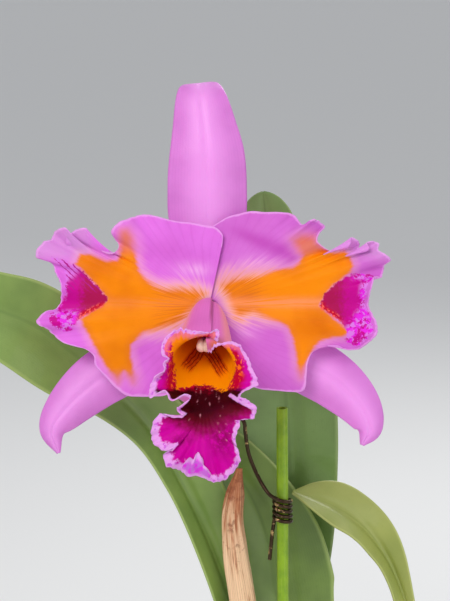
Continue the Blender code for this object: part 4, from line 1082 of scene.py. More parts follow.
# %% The lip
STRIPE_REACH = 3.3
FLECK_WIDTH, FLECK_HEIGHT = 0.32, 0.45
FLECKS = [
    (-5.4, -36.5, 2.2), (-3.6, -36.3, 2.6), (-4.6, -39.2, 1.2), (-5.0, -41.6, 1.6),
    (0.3, -42.4, 1.4), (3.4, -38.6, 1.3), (4.4, -40.4, 2.2), (-1.4, -39.8, 0.9),
    (5.8, -43.6, 1.2), (4.6, -47.2, 1.2), (4.0, -50.2, 1.6), (4.6, -53.8, 1.4),
    (7.4, -51.0, 0.9), (-3.8, -47.0, 1.6), (1.4, -36.6, 1.0), (-8.6, -48.8, 0.9),
    (7.4, -57.6, 1.1), (6.2, -62.0, 0.9), (8.8, -54.4, 0.9),
]


def bundle_of_stripes(seen, start, stop):
    """How far each point lies beside the line from start to stop, and how much it belongs to it."""
    start, stop = np.array(start), np.array(stop)
    run = stop - start
    length = np.hypot(*run)
    ahead = run / length
    along = (seen - start) @ ahead
    beside = (seen - start) @ np.array([-ahead[1], ahead[0]])
    ends = steps(along, -0.8, 0.6) * (1.0 - steps(along, length - 3.0, length + 1.0))
    return beside, (1.0 - steps(np.abs(beside), STRIPE_REACH - 1.0, STRIPE_REACH)) * ends


lip, spots, shares = make_sheet(
    "lip_skin", 448, 72, lip_rule, 0.5, [lip_inside, lip_outside], flower_axes, turned=True,
)
seen = seen_in_front(spots)
x, up = seen[:, 0], seen[:, 1]
bearings = np.array([blend(lip_rows, s)[0] for s, t in shares])
edges = np.array([lip_rule(s, 1.0) for s, t in shares])
hem_bearings, hem_widths = np.array(LIP_HEM_WIDTHS).T
from_edge = np.linalg.norm(spots - edges, axis=1)
left_lines, left_held = bundle_of_stripes(seen, *THROAT_STRIPES[0])
right_lines, right_held = bundle_of_stripes(seen, *THROAT_STRIPES[1])
held = np.maximum(left_held, right_held)
away = np.abs(bearings)
beside_middle = np.maximum(np.abs(x - LOBE_MIDDLE) - 3.0, 0.0)
flecks = sum(blot(seen, (right, high), (FLECK_WIDTH, FLECK_HEIGHT * tall))
             for right, high, tall in FLECKS)
ruffle = np.array([beside_ruffle(*spot) for spot in spots[:, :2]]) / RUFFLE_HEM
ruffle += 9.0 * (shares[:, 1] < 0.6)
numbers = {
    "up": up,
    "lobe": up - beside_middle * np.where(x > LOBE_MIDDLE, LOBE_SLOPES[1], LOBE_SLOPES[0]),
    "dusk": np.maximum(0.85 * blot(seen, (5.5, -56), (5.5, 8)),
                       0.6 * blot(seen, (-11.5, -57.5), (5, 3))),
    "throat": depth_inside(seen, LIP_THROAT),
    "deep": spots[:, 2],
    "stripes": np.where(left_held > right_held, left_lines, right_lines),
    "striped": held,
    "rust": (np.maximum(0.85 * held, blot(seen, (-1.6, -18), (4.0, 3.2)))
             + 0.3 * blot(seen, (-12.5, -17), (4, 7))),
    "hem": np.minimum(from_edge / np.interp(bearings, hem_bearings, hem_widths), ruffle),
    "torn": 0.5 + 1.5 * (1.0 - steps(away, 14.0, 24.0)),
    "side": (up - LOBE_TOP) * np.where(away > 20.0, 1.0, 0.3) - 0.5,
    "brow": steps(up, -24.0, -15.0),
    "flecks": np.minimum(flecks, 1.0),
    "seam": (1.0 - steps(bearings, -190.5, -184.0)) * steps(up, -10.0, -2.0),
    "curl": blot(seen, (2.6, -16.5), (3.2, 2.6)),
    "cheek": steps(away, 60.0, 90.0) * (1.0 - steps(away, 130.0, 150.0)),
}
for name, values in numbers.items():
    write_number(lip, name, values)
settle(lip, "lip", "lip")

# %% [markdown]
# At the bottom of the front lobe the margin is turned up, so that its pale reverse shows. This small
# flap is a sheet of its own: it starts on the lobe, stands off a little, and ends in a wavy edge. The
# lobe's own points nearest to each of its points say how far forward it has to lie.

# %% The turned-up flap
FLAP_STAND_OFF, FLAP_RIPPLE, FLAP_NEIGHBOURS = 2.1, 0.7, 12
FLAP_FOOT = vectors([(-10.8, -66.6), (-8.5, -69.4), (-5.2, -69.2), (-2.4, -70.0), (0.4, -70.6)])
FLAP_EDGE = vectors([
    (-9.9, -64.2), (-8.6, -62.6), (-7.2, -61.6), (-5.9, -62.2), (-4.9, -60.2), (-3.9, -59.4),
    (-3.1, -60.8), (-2.2, -62.4), (-1.8, -64.6), (-0.4, -66.0), (1.0, -68.6),
])
front_spots = spots[shares[:, 1] > 0.6]


def flap_rule(s, t):
    """The flap's point (s, t): s across the lobe, t from its foot up to its wavy edge."""
    place = blend(FLAP_FOOT, s).lerp(blend(FLAP_EDGE, s), t)
    apart = np.hypot(front_spots[:, 0] - place.x, front_spots[:, 1] - place.y)
    nearest = np.argsort(apart)[:FLAP_NEIGHBOURS]
    under = float(np.mean(front_spots[nearest, 2]))
    belly = math.sin(math.pi * min(max(s, 0.04), 0.96)) ** 0.5
    stand_off = FLAP_STAND_OFF * math.sin(0.62 * math.pi * t) * belly
    ripple = FLAP_RIPPLE * t * t * math.sin(22.0 * s + 1.0)
    return Vector((place.x, place.y, under + stand_off + ripple))


def flap_finish():
    made, tree, shader = new_finish("lip_flap", 0.46, soft=0.2, gloss=0.25)
    spot = place_on(tree)
    mottle = grain(tree, spot, 420.0, 3.0, 0.6)
    tone = mixed(tree, rise(tree, mottle, 0.42, 0.6), LIP_LILAC, WEDGE_BRIGHT)
    height = swayed(tree, number(tree, "t"), mottle, 0.5)
    tone = mixed(tree, rise(tree, height, 0.3, 0.0), tone, LIP_HEM)
    tone = mixed(tree, rise(tree, height, 0.62, 0.9), tone, LIP_HEM)
    feed(tree, shader.inputs["Base Color"], tone)
    return made


flap, *_ = make_sheet("lip_flap", 48, 16, flap_rule, 0.4, [flap_finish()], flower_axes)
settle(flap, "lip")

# %% [markdown]
# The column stands inside the lip's hood. All that shows of it is the blunt end with its cap, a
# cream-pink pair of little cushions. A stem along a route is needed for it, and again for the flower
# stem, the roots and the pseudobulbs: a ball is drawn out so that each of its rings follows the route.

# %% A stem along a route
def rod_mesh(route, radii, sides, rings, furrows=0, furrow_depth=0.0, level=False):
    """A solid stem along a route, with flat ends, square to the route or level."""
    bm = bmesh.new()
    bmesh.ops.create_uvsphere(bm, u_segments=sides, v_segments=rings + 1, radius=1.0)
    for vertex in bm.verts:
        height = min(max(vertex.co.z, -1.0), 1.0)
        ring = round((math.pi - math.acos(height)) * (rings + 1) / math.pi)
        share = min(max((ring - 1) / (rings - 1), 0.0), 1.0)
        middle = blend(route, share)
        ahead = (blend(route, share + 0.01) - blend(route, share - 0.01)).normalized()
        guide = Vector((1, 0, 0)) if abs(ahead.x) < 0.8 else Vector((0, 0, 1))
        first = Vector((1, 0, 0)) if level else ahead.cross(guide).normalized()
        second = Vector((0, 1, 0)) if level else ahead.cross(first)
        turn = math.atan2(vertex.co.y, vertex.co.x)
        on_axis = ring in (0, rings + 1)
        radius = 0.0 if on_axis else blend(radii, share)
        radius *= 1.0 + furrow_depth * math.cos(furrows * turn)
        vertex.co = middle + first * radius * math.cos(turn) + second * radius * math.sin(turn)
    bmesh.ops.recalc_face_normals(bm, faces=bm.faces)
    return bm


print("rod_mesh:", rod_mesh.__doc__)

# %% The column and its cap
def plain_living_finish(name, colour, deep, roughness=0.45, cloud=300.0):
    """Two cloudy tones with the grain of cells."""
    made, tree, shader = new_finish(name, roughness, soft=0.2)
    cells = use_group(tree, living_cells, Place=place_on(tree), Cloud_Scale=cloud)
    tone = mixed(tree, rise(tree, cells["Cloud"], 0.4, 0.7), colour, deep)
    feed(tree, shader.inputs["Base Color"], tone)
    feed(tree, shader.inputs["Normal"], bump(tree, cells["Height"], 0.3, 0.0001))
    return made


column_finish = plain_living_finish("column_wax", paint(216, 118, 120), paint(190, 70, 110))
cap_finish = plain_living_finish("cap_cream", paint(250, 206, 190), paint(236, 172, 170), 0.4)
beak_finish = plain_living_finish("beak_purple", paint(120, 20, 90), paint(150, 40, 110), 0.4)

column_route = vectors([(0, -1.5, -0.9), (-0.4, -4.4, 6), (-0.8, -8.2, 12), (-1.2, -12.3, 18),
                        (-1.3, -15.6, 22.5)])
bm = rod_mesh(column_route, [2.0, 2.4, 3.0, 3.6, 3.1], 28, 26)
column = make_piece("column_body", bm, [column_finish], flower_axes)
settle(column, "column", "column")


def add_bead(bm, centre, size, sides, rings, taper=0.0):
    """A ball stretched to a size round its centre; the taper narrows its upper end."""
    ball = bmesh.ops.create_uvsphere(bm, u_segments=sides, v_segments=rings, radius=1.0)["verts"]
    for vertex in ball:
        x, y, z = vertex.co
        vertex.co = (centre[0] + x * size[0] * (1.0 - taper * y), centre[1] + y * size[1],
                     centre[2] + z * size[2])


bm = bmesh.new()
for middle in (-3.05, -0.75):
    add_bead(bm, (middle, -16.3, 24.6), (2.0, 2.9, 2.0), 24, 16, taper=0.22)
cap = make_piece("column_cap", bm, [cap_finish], flower_axes)
settle(cap, "column")

bm = bmesh.new()
add_bead(bm, (-2.0, -13.3, 25.0), (0.9, 0.7, 0.9), 16, 12)
beak = make_piece("column_beak", bm, [beak_finish], flower_axes)
settle(beak, "column")

# %% [markdown]
# The leaves are leathery, stiff and folded along the midrib like a shallow boat. Each one runs along
# a spine of chosen points, with its own half-width on either side, and thins out towards its margins:
# a vertex group tells Solidify how thick each vertex is. The finish has fine lengthwise veins, a dark
# line of painted shade in the crease of the midrib, a paler margin, and a thin waxy coat.

# %% The leaves' finish
def leaf_finish(name, colour, deep, pale, roughness=0.42):
    """Two green tones, with freckles, veins, painted shade down the midrib, and a pale line along the
    margins.
    """
    made, tree, shader = new_finish(name, roughness, coat=0.15)
    across, along, spot = number(tree, "t"), number(tree, "s"), place_on(tree)
    cells = use_group(tree, living_cells, Place=spot, Cell_Scale=1500.0, Cloud_Scale=35.0)
    veins = use_group(tree, sheet_veins, Across=across, Along=along, Count=46.0, Wander=0.05)["Vein"]
    tone = mixed(tree, rise(tree, cells["Cloud"], 0.3, 0.72), colour, deep)
    freckles = rise(tree, grain(tree, spot, 700.0, 2.0), 0.6, 0.72)
    tone = coated(tree, tone, deep, freckles, 0.25)
    tone = coated(tree, tone, pale, veins, 0.08)
    beside = off_middle(tree, across)
    # painted shade: a dark line down the crease of the midrib
    tone = coated(tree, tone, deep, rise(tree, beside, 0.03, 0.005), 0.7)
    tone = coated(tree, tone, pale, rise(tree, beside, 0.455, 0.495), 0.8)
    feed(tree, shader.inputs["Base Color"], tone)
    height = sums(tree, "MULTIPLY_ADD", veins, -0.5, cells["Height"])
    feed(tree, shader.inputs["Normal"], bump(tree, height, 0.2, 0.0002))
    dull = sums(tree, "MULTIPLY_ADD", cells["Cloud"], 0.25, roughness - 0.12)
    feed(tree, shader.inputs["Roughness"], dull)
    return made


LEAF_PALE = paint(160, 182, 100)
LEAF_TONES = {
    "left": (paint(126, 154, 72), paint(104, 134, 58), LEAF_PALE),
    "back": (paint(122, 156, 80), paint(104, 136, 66), paint(146, 170, 100)),
    "centre": (paint(118, 146, 64), paint(94, 120, 52), LEAF_PALE),
    "right": (paint(164, 172, 88), paint(142, 154, 72), paint(182, 190, 110)),
}
leaf_tops = {side: leaf_finish(f"leaf_{side}_top", *tones) for side, tones in LEAF_TONES.items()}
leaf_under = leaf_finish("leaf_under", paint(150, 162, 78), paint(128, 142, 62), LEAF_PALE, 0.6)
print("leaf finishes:", list(leaf_tops))

# %% The four leaves
LEAF_MIDDLE, LEAF_MARGIN = 1.7, 0.9
LEAF_CROWDING = 1.25
LEAF_WAVE = 0.5


def leaf_rule(spine, low_side, high_side, facings, keels, blunt=1.0):
    """A leaf's point (s, t): s from base to tip, t across; past blunt the tip is rounded off."""
    spine, facings = vectors(spine), vectors(facings)

    def rule(s, t):
        s = 1.0 - (1.0 - s) ** LEAF_CROWDING
        across = 2.0 * t - 1.0
        middle = blend(spine, s)
        ahead = (blend(spine, s + 0.02) - blend(spine, s - 0.02)).normalized()
        facing = blend(facings, s)
        facing = (facing - ahead * facing.dot(ahead)).normalized()
        side = ahead.cross(facing)
        width = abs(across) * (blend(high_side, s) if across > 0 else blend(low_side, s))
        if s > blunt:
            width *= math.sqrt(max(1.0 - ((s - blunt) / (1.0 - blunt)) ** 2, 0.002))
        rise_angle = math.radians(blend(keels, s)) * ramp(abs(across), 0.0, 0.35)
        way = math.copysign(1.0, across)
        wave = LEAF_WAVE * across * across * math.sin(17.0 * s + 1.5 * way)
        flat = side * width * way * math.cos(rise_angle)
        return middle + flat + facing * (width * math.sin(rise_angle) + wave)

    return rule


leaf_rules = {
    "left": leaf_rule(
        [(-14, 4.6, 172.8), (-18, 5, 195), (-26, 5, 222), (-38, 4, 254), (-50, 2, 280),
         (-62, -1, 304), (-78, -4, 324), (-96, -7, 340), (-113, -10, 354),
         (-131, -11, 362), (-156, -12, 372), (-182, -12, 380)],
        [3.5, 7.5, 11, 12.5, 11.5, 13, 17, 22, 23, 20, 13, 0.6],
        [3.0, 8, 12, 16, 18, 18, 17, 18, 19, 17, 11, 0.6],
        [(0.0, -1.0, 0.1), (0.35, -0.9, 0.1), (0.45, -0.85, 0.17), (0.3, -0.9, 0.2),
         (0.05, -0.95, 0.3), (0.0, -0.95, 0.3), (0.0, -0.95, 0.2)],
        [3, 14, 30, 34, 28, 18, 12, 10, 8, 6],
    ),
    "back": leaf_rule(
        [(5, 28, 168.6), (5, 28, 200), (5, 28, 235), (3, 27, 270), (1, 26, 305),
         (-3, 26, 340), (-7, 27, 375), (-10.5, 28, 409)],
        [3.2, 9, 14, 20, 24.5, 26.5, 25.5, 22.5, 20, 17.5, 14.5, 12],
        [3.2, 9, 14, 18, 21, 23, 24, 24, 22, 18, 14.5, 12],
        [(0.0, -1.0, 0.1), (0.1, -1.0, 0.0), (0.0, -1.0, 0.0)],
        [10, 14, 14, 12, 8], 0.93,
    ),
    "centre": leaf_rule(
        [(16, 8, 171.2), (7, 11, 193), (-4, 13, 218), (-8, 14, 244), (-17, 15, 268),
         (-33, 16, 289), (-50, 16, 306), (-65, 16, 321)],
        [2.8, 9.5, 13, 14, 14, 14, 10, 0.8],
        [2.8, 19, 29, 26, 19, 14, 9, 0.8],
        [(0.0, -1.0, 0.1), (0.15, -1.0, 0.0), (0.1, -1.0, 0.1), (0.0, -1.0, 0.2)],
        [8, 16, 14, 12, 8],
    ),
    "right": leaf_rule(
        [(63, 5, 184.6), (58.5, 5, 212), (51, 4, 233), (42, 3, 248), (33, 1.5, 258),
         (23, 0, 265), (13, -1.5, 270), (3, -2.5, 273.5)],
        [2.6, 6, 8, 11, 12.5, 12, 8, 0.8],
        [2.6, 5, 8, 11, 13, 13, 9, 0.8],
        [(-0.4, -0.7, 0.6), (-0.1, -0.65, 0.7), (0.15, -0.6, 0.75), (0.15, -0.6, 0.8)],
        [10, 40, 40, 24, 16, 12, 8],
    ),
}
for side, rule in leaf_rules.items():
    leaf, _, shares = make_sheet(
        f"leaf_{side}_skin", 130, 34, rule, LEAF_MIDDLE, [leaf_tops[side], leaf_under],
        turned=True,
    )
    fullness = leaf.vertex_groups.new(name="fullness")
    for index, (s, t) in enumerate(shares):
        share = 1.0 - abs(2.0 * t - 1.0) ** 3
        fullness.add([index], LEAF_MARGIN / LEAF_MIDDLE * (1.0 - share) + share, "REPLACE")
    leaf.modifiers["Thickness"].vertex_group = fullness.name
    settle(leaf, "leaf", f"leaf_{side}")

# %% [markdown]
# The flower stem rises through a dry sheath, which once wrapped the bud and is now brown paper. The
# stem is a plain green rod with the ovary's six low ridges near the flower. The sheath is a curled
# sheet again: tan and thin below, browner and creased lengthwise above, with a slit at the back.

# %% The flower stem
SEAT_DEPTH, OVARY_MIDDLE, OVARY_FOOT = 5.4, 10, 21
OVARY_RIDGES, RIDGE_DEPTH = 6, 0.035
stem_finish = plain_living_finish("stem_skin", paint(136, 158, 84), paint(112, 134, 66), cloud=90.0)
outwards = (flower_axes.to_3x3() @ Vector((0, 0, 1))).normalized()
seat = Vector(FLOWER_CENTRE) - outwards * SEAT_DEPTH
stem_route = vectors([
    (-15.5, -3, 172.4), (-17.5, -3.5, 200), (-21, -4, 228), (-23.5, -4.5, 256),
    (-23.5, -4, 282), (-26, -2, 308), (-30, 1, 334), (-33.5, -2, 355),
]) + [seat - outwards * OVARY_FOOT, seat - outwards * OVARY_MIDDLE, seat]
stem_radii = [2.2, 2.1, 2.0, 2.0, 2.0, 2.1, 2.2, 2.4, 2.9, 3.8, 4.4]
bm = rod_mesh(stem_route, stem_radii, 36, 120, furrows=OVARY_RIDGES, furrow_depth=RIDGE_DEPTH)
stem = make_piece("flower_stem_skin", bm, [stem_finish])
settle(stem, "flower_stem", "flower_stem")


# %% The dry sheath
def paper_finish(name):
    """Old paper: tan at the foot, brown and blotched towards the top, with veins all along."""
    made, tree, shader = new_finish(name, 0.7, soft=0.1)
    across, along, spot = number(tree, "t"), number(tree, "s"), place_on(tree)
    veins = use_group(tree, sheet_veins, Across=across, Along=along, Count=30.0, Wander=0.25)["Vein"]
    stretched = spread(tree, sums(tree, "MULTIPLY", across, 9.0), sums(tree, "MULTIPLY", along, 3.0))
    stains = grain(tree, stretched, 1.6, 4.0, 0.6)
    aged = swayed(tree, along, stains, 1.4)
    tone = mixed(tree, rise(tree, aged, 0.4, 0.95), paint(250, 208, 166), paint(190, 116, 72))
    blotches = grain(tree, spot, 190.0, 4.0, 0.65)
    spotted = swayed(tree, along, blotches, 2.6)
    tone = coated(tree, tone, paint(142, 70, 38), rise(tree, spotted, 0.75, 1.2), 0.75)
    tone = coated(tree, tone, paint(164, 96, 60), rise(tree, stains, 0.56, 0.7), 0.6)
    tone = coated(tree, tone, paint(156, 96, 62), veins, 0.35)
    feed(tree, shader.inputs["Base Color"], tone)
    height = sums(tree, "MULTIPLY_ADD", veins, -0.6, sums(tree, "ADD", stains, blotches))
    feed(tree, shader.inputs["Normal"], bump(tree, height, 0.6, 0.0006))
    return made


sheath_middle = vectors([
    (-15.5, -3, 172.5), (-17.5, -3.5, 200), (-20, -4, 222), (-23, -4.5, 243),
    (-24.5, -5, 260), (-23.7, -5.5, 273), (-21.5, -8, 287),
])
SHEATH_WIDTHS = [4.6, 5.4, 6.2, 5.6, 4.6, 4.0, 1.5]
SHEATH_DEPTHS = [3.8, 4.4, 4.6, 4.2, 3.8, 3.4, 1.0]
SHEATH_HALF_TURNS = [140, 145, 140, 125, 110, 90, 60]


def sheath_rule(s, t):
    """The sheath's point (s, t): s from foot to tip, t round it from slit to slit."""
    turn = math.radians(blend(SHEATH_HALF_TURNS, s)) * (2.0 * t - 1.0)
    crease = 1.0 + 0.07 * ramp(s, 0.1, 0.5) * math.sin(6.0 * turn + 5.0 * s)
    crease += 0.05 * noise.noise(Vector((turn * 2.0, s * 9.0, 4.0)))
    across = Vector((1, 0, 0)) * blend(SHEATH_WIDTHS, s) * math.sin(turn) * crease
    forward = Vector((0, -1, 0)) * blend(SHEATH_DEPTHS, s) * math.cos(turn) * crease
    return blend(sheath_middle, s) + across + forward


sheath, *_ = make_sheet(
    "dry_sheath_skin", 130, 60, sheath_rule, 0.45, [paper_finish("sheath_paper")],
)
settle(sheath, "dry_sheath", "dry_sheath")

# %% [markdown]
# The stake is a hollow plastic rod, pushed deep into the bark. A cone with equal ends makes the rod,
# its top face is inset and pushed down to make the bore, and the sharp rims are bevelled. The finish
# is smooth moulded green with the faint lengthwise lines that such rods are drawn with.

# %% The stake
STAKE_FOOT, STAKE_TOP = Vector((0.6, -14.0, 40.0)), Vector((-2.4, -14.0, 317.0))
STAKE_RADIUS, STAKE_BORE, BORE_DEPTH = 2.6, 1.6, 24.0
STAKE_BEVEL = 0.25


def stake_plastic():
    made, tree, shader = new_finish("stake_plastic", 0.36, soft=0.1)
    spot = place_on(tree)
    lines = grain(tree, squeezed(tree, spot, (1.0, 1.0, 0.03)), 1900.0, 2.0)
    worn = grain(tree, spot, 120.0, 4.0, 0.6)
    tone = mixed(tree, rise(tree, worn, 0.35, 0.7), paint(140, 178, 14), paint(116, 154, 12))
    tone = coated(tree, tone, paint(164, 196, 60), rise(tree, lines, 0.5, 0.75), 0.3)
    feed(tree, shader.inputs["Base Color"], tone)
    feed(tree, shader.inputs["Normal"], bump(tree, lines, 0.25, 0.0001))
    return made


bm = bmesh.new()
length = (STAKE_TOP - STAKE_FOOT).length
bmesh.ops.create_cone(
    bm, cap_ends=True, segments=48, radius1=STAKE_RADIUS, radius2=STAKE_RADIUS, depth=length,
)
bmesh.ops.translate(bm, verts=bm.verts, vec=(0.0, 0.0, length / 2.0))
top_face = max(bm.faces, key=lambda face: face.calc_center_median().z)
bmesh.ops.inset_region(bm, faces=[top_face], thickness=STAKE_RADIUS - STAKE_BORE)
sunk = bmesh.ops.extrude_face_region(bm, geom=[top_face])["geom"]
bmesh.ops.translate(
    bm, verts=[item for item in sunk if isinstance(item, bmesh.types.BMVert)],
    vec=(0.0, 0.0, -BORE_DEPTH),
)
bmesh.ops.delete(bm, geom=[top_face], context="FACES_ONLY")
rims = [edge for edge in bm.edges if edge.is_manifold
        and edge.calc_face_angle() > 1.0 and edge.verts[0].co.z > length - 1.0]
bmesh.ops.bevel(
    bm, geom=rims, offset=STAKE_BEVEL, offset_type="OFFSET", segments=3, profile=0.5, affect="EDGES",
    material=-1,
)
lean = (STAKE_TOP - STAKE_FOOT).normalized().to_track_quat("Z", "Y").to_matrix().to_4x4()
stake_axes = plant_axes @ Matrix.Translation(STAKE_FOOT) @ lean
stake = make_piece("stake_rod", bm, [stake_plastic()], stake_axes, crease=35.0)
settle(stake, "stake", "stake")

# %% [markdown]
# The wire clip is a single piece of stiff wire: it hooks round the flower stem, runs down to the
# stake, winds round it nearly five times and ends in a free tail. A curve with a round bevel is the
# natural way to make wire. Its finish is dark lacquer, worn to brass in patches.

# %% The support wire
WIRE_RADIUS = 0.9
HOOK_CENTRE, HOOK_RADIUS, HOOK_TOP = Vector((-27.1, -1.2, 315.0)), 3.3, 2.1
HOOK_POINTS, HOOK_START, HOOK_STEP, HOOK_FALL = 37, 228, 8, 0.1
LEAD_POINTS = [(-19.8, -7, 309), (-18.9, -7.5, 304), (-18.2, -8.2, 298.5), (-17, -9, 293),
               (-14.6, -10.5, 287), (-11.6, -13, 281.5), (-8, -16.4, 277)]
TAIL_POINTS = [(-6.4, -13.4, 258), (-7.0, -13.8, 252), (-7.6, -14, 245)]
COIL_TURNS, COIL_RADIUS, COIL_PITCH, COIL_SLANT = 4.8, 4.0, 2.4, -0.12
COIL_TOP, COIL_START, COIL_POINTS, COIL_UNEVEN = 274.5, -120, 28, 0.12


def wire_route():
    """The wire's points: a hook round the stem, down to the stake, round it, and a free tail."""
    hook = []
    for k in range(HOOK_POINTS):
        turn = math.radians(HOOK_START - HOOK_STEP * k)
        offset = Vector((math.cos(turn), math.sin(turn), 0.0)) * HOOK_RADIUS
        hook.append(HOOK_CENTRE + offset + Vector((0, 0, HOOK_TOP - HOOK_FALL * k)))
    coil = []
    for k in range(round(COIL_TURNS * COIL_POINTS) + 1):
        turn = math.radians(COIL_START + 360 * k / COIL_POINTS)
        height = COIL_TOP - COIL_PITCH * k / COIL_POINTS
        share = (height - STAKE_FOOT.z) / (STAKE_TOP.z - STAKE_FOOT.z)
        radius = COIL_RADIUS + COIL_UNEVEN * math.sin(1.3 * k * 10 / COIL_POINTS)
        around = Vector((math.cos(turn), math.sin(turn), COIL_SLANT * math.cos(turn)))
        coil.append(STAKE_FOOT.lerp(STAKE_TOP, share) + around * radius)
    lead = [hook[-1]] + vectors(LEAD_POINTS) + [coil[0]]
    tail = [coil[-1]] + vectors(TAIL_POINTS)
    lead_in = [blend(lead, k / 40) for k in range(1, 40)]
    lead_out = [blend(tail, k / 18) for k in range(1, 19)]
    return hook + lead_in + coil + lead_out


def wire_lacquer():
    made, tree, shader = new_finish("wire_lacquer", 0.3)
    spot = place_on(tree)
    wear = grain(tree, spot, 260.0, 4.0, 0.65)
    worn = rise(tree, wear, 0.54, 0.66)
    tone = mixed(tree, worn, paint(66, 50, 34), paint(206, 172, 118))
    feed(tree, shader.inputs["Base Color"], tone)
    feed(tree, shader.inputs["Metallic"], sums(tree, "MULTIPLY_ADD", worn, 0.2, 0.8))
    feed(tree, shader.inputs["Roughness"], sums(tree, "MULTIPLY_ADD", wear, 0.2, 0.16))
    feed(tree, shader.inputs["Normal"], bump(tree, wear, 0.2, 0.0001))
    return made


route = wire_route()
wire = bpy.data.curves.new("support_wire_round", "CURVE")
wire.dimensions = "3D"
wire.bevel_depth = WIRE_RADIUS * MM
wire.bevel_resolution = 5
wire.use_fill_caps = True
spline = wire.splines.new("POLY")
spline.points.add(len(route) - 1)
for knot, point in zip(spline.points, route):
    knot.co = (*(point * MM), 1.0)
wire.materials.append(wire_lacquer())
support_wire = bpy.data.objects.new("support_wire_round", wire)
plant.objects.link(support_wire)
settle(support_wire, "support_wire", "support_wire")

# %% [markdown]
# Each leaf stands on a pseudobulb, a swollen stem that stores water. It is furrowed lengthwise, more
# deeply as it ages, and its foot is wrapped in the dry paper of an old bract. The bulbs are stems
# along a route with seven furrows and a little noise; each bract is a curled sheet with a torn top.

# %% The pseudobulbs
BARK_TOP = 86.0
GAP = 0.3
RHIZOME_RADIUS = 5.0
BULB_BASE = BARK_TOP + GAP + 2 * RHIZOME_RADIUS + GAP
BULB_ROUTES = [
    [(-17, -5, BULB_BASE), (-19, -5, 118), (-18, -3, 146), (-15, -1, 172)],
    [(5, 6, BULB_BASE), (8, 5, 116), (12, 6, 144), (16, 8, 169)],
    [(16, 20, BULB_BASE), (10, 24, 116), (6, 27, 144), (5, 28, 168)],
    [(35, 9, BULB_BASE), (43, 6, 122), (54, 5, 154), (63, 5, 184)],
]
BULB_GIRTHS = [
    [4.5, 8.5, 8.0, 6.8], [4.0, 7.5, 7.0, 4.2], [4.0, 7.5, 7.0, 4.2], [4.0, 7.5, 7.0, 4.0],
]
BULB_FURROWS, FURROW_DEPTH, BULB_BULGE = 7, 0.05, 0.5


def bulb_finish():
    made, tree, shader = new_finish("pseudobulb_skin", 0.45, coat=0.1)
    spot = place_on(tree)
    cells = use_group(tree, living_cells, Place=spot, Cell_Scale=1200.0, Cloud_Scale=60.0)
    tone = mixed(tree, rise(tree, cells["Cloud"], 0.3, 0.7), paint(126, 142, 64), paint(92, 112, 46))
    # painted shade: the valleys of the furrows are darker green
    tone = coated(tree, tone, paint(74, 88, 38), number(tree, "furrow_shade"), 0.6)
    scars = rise(tree, grain(tree, spot, 420.0, 3.0, 0.6), 0.62, 0.7)
    tone = coated(tree, tone, paint(150, 128, 74), scars, 0.6)
    feed(tree, shader.inputs["Base Color"], tone)
    feed(tree, shader.inputs["Normal"], bump(tree, cells["Height"], 0.35, 0.0003))
    return made


bulb_skin = bulb_finish()
for k, (route, girth) in enumerate(zip(BULB_ROUTES, BULB_GIRTHS)):
    bm = rod_mesh(vectors(route), girth, 84, 60, BULB_FURROWS, FURROW_DEPTH, level=True)
    furrows = []
    for vertex in bm.verts:
        share = min(max((vertex.co.z - BULB_BASE) / (route[-1][2] - BULB_BASE), 0.0), 1.0)
        middle = blend(vectors(route), share)
        arm = Vector((vertex.co.x - middle.x, vertex.co.y - middle.y, 0.0))
        furrows.append(0.5 - 0.5 * math.cos(BULB_FURROWS * math.atan2(arm.y, arm.x)))
        swell = noise.noise(vertex.co * 0.12 + Vector((k, 0, 0)))
        if arm.length > 0.5:
            vertex.co += arm.normalized() * (swell * BULB_BULGE * math.sin(math.pi * share))
    bulb = make_piece(f"pseudobulb_{k + 1}_skin", bm, [bulb_skin])
    write_number(bulb, "furrow_shade", furrows)
    settle(bulb, "pseudobulb", f"pseudobulb_{k + 1}")

# %% The papery bracts round their feet
BRACT_TURN, BRACT_GAP, BRACT_FLARE, BRACT_CRUMPLE = 300.0, 0.5, 1.1, 0.3


def bract_rule(k, route, girth):
    """The point (s, t) of bulb k's bract: s from its foot to its torn top, t round the bulb."""
    middle = vectors(route)
    tall = 0.42 + 0.1 * math.sin(2.1 * k)
    start = 60.0 + 97.0 * k

    def rule(s, t):
        turn = math.radians(start + BRACT_TURN * t)
        torn = 0.16 * noise.noise(Vector((t * 6.0, k, 1.0)))
        torn += 0.08 * noise.noise(Vector((t * 23.0, k, 5.0)))
        share = s * (tall + torn)
        radius = blend(girth, share) * 1.04 + BRACT_GAP + BRACT_FLARE * s**3
        radius += BRACT_CRUMPLE * noise.noise(Vector((t * 9.0, s * 4.0, k)))
        return blend(middle, share) + Vector((math.cos(turn), math.sin(turn), 0.0)) * radius

    return rule


bract_paper = paper_finish("bract_paper")
for k, (route, girth) in enumerate(zip(BULB_ROUTES, BULB_GIRTHS)):
    rule = bract_rule(k, route, girth)
    bract, *_ = make_sheet(f"bract_{k + 1}", 40, 90, rule, 0.35, [bract_paper])
    settle(bract, "dry_sheath")

# %% [markdown]
# The rhizome creeps over the bark and joins the pseudobulbs; silvery roots leave it and wander among
# the chips, green at their growing tips. Both are stems along a route. The rhizome is ringed by the
# scars of old scales, so its radius rises and falls along it.

# %% The rhizome and its roots
RHIZOME_ROUTE = [(-27, -9), (-14, -3), (4, 6), (16, 20), (34, 9), (46, 4)]
RHIZOME_GIRTHS = [3.2, 5.0, 5.0, 5.0, 5.0, 3.6]
SCAR_DEPTH = 0.07
ROOT_RADIUS, ROOT_STRIDE, ROOT_LIMIT, ROOT_DIP = 1.5, 6.5, 47, 1.2
BARK_RELIEF = 3.0


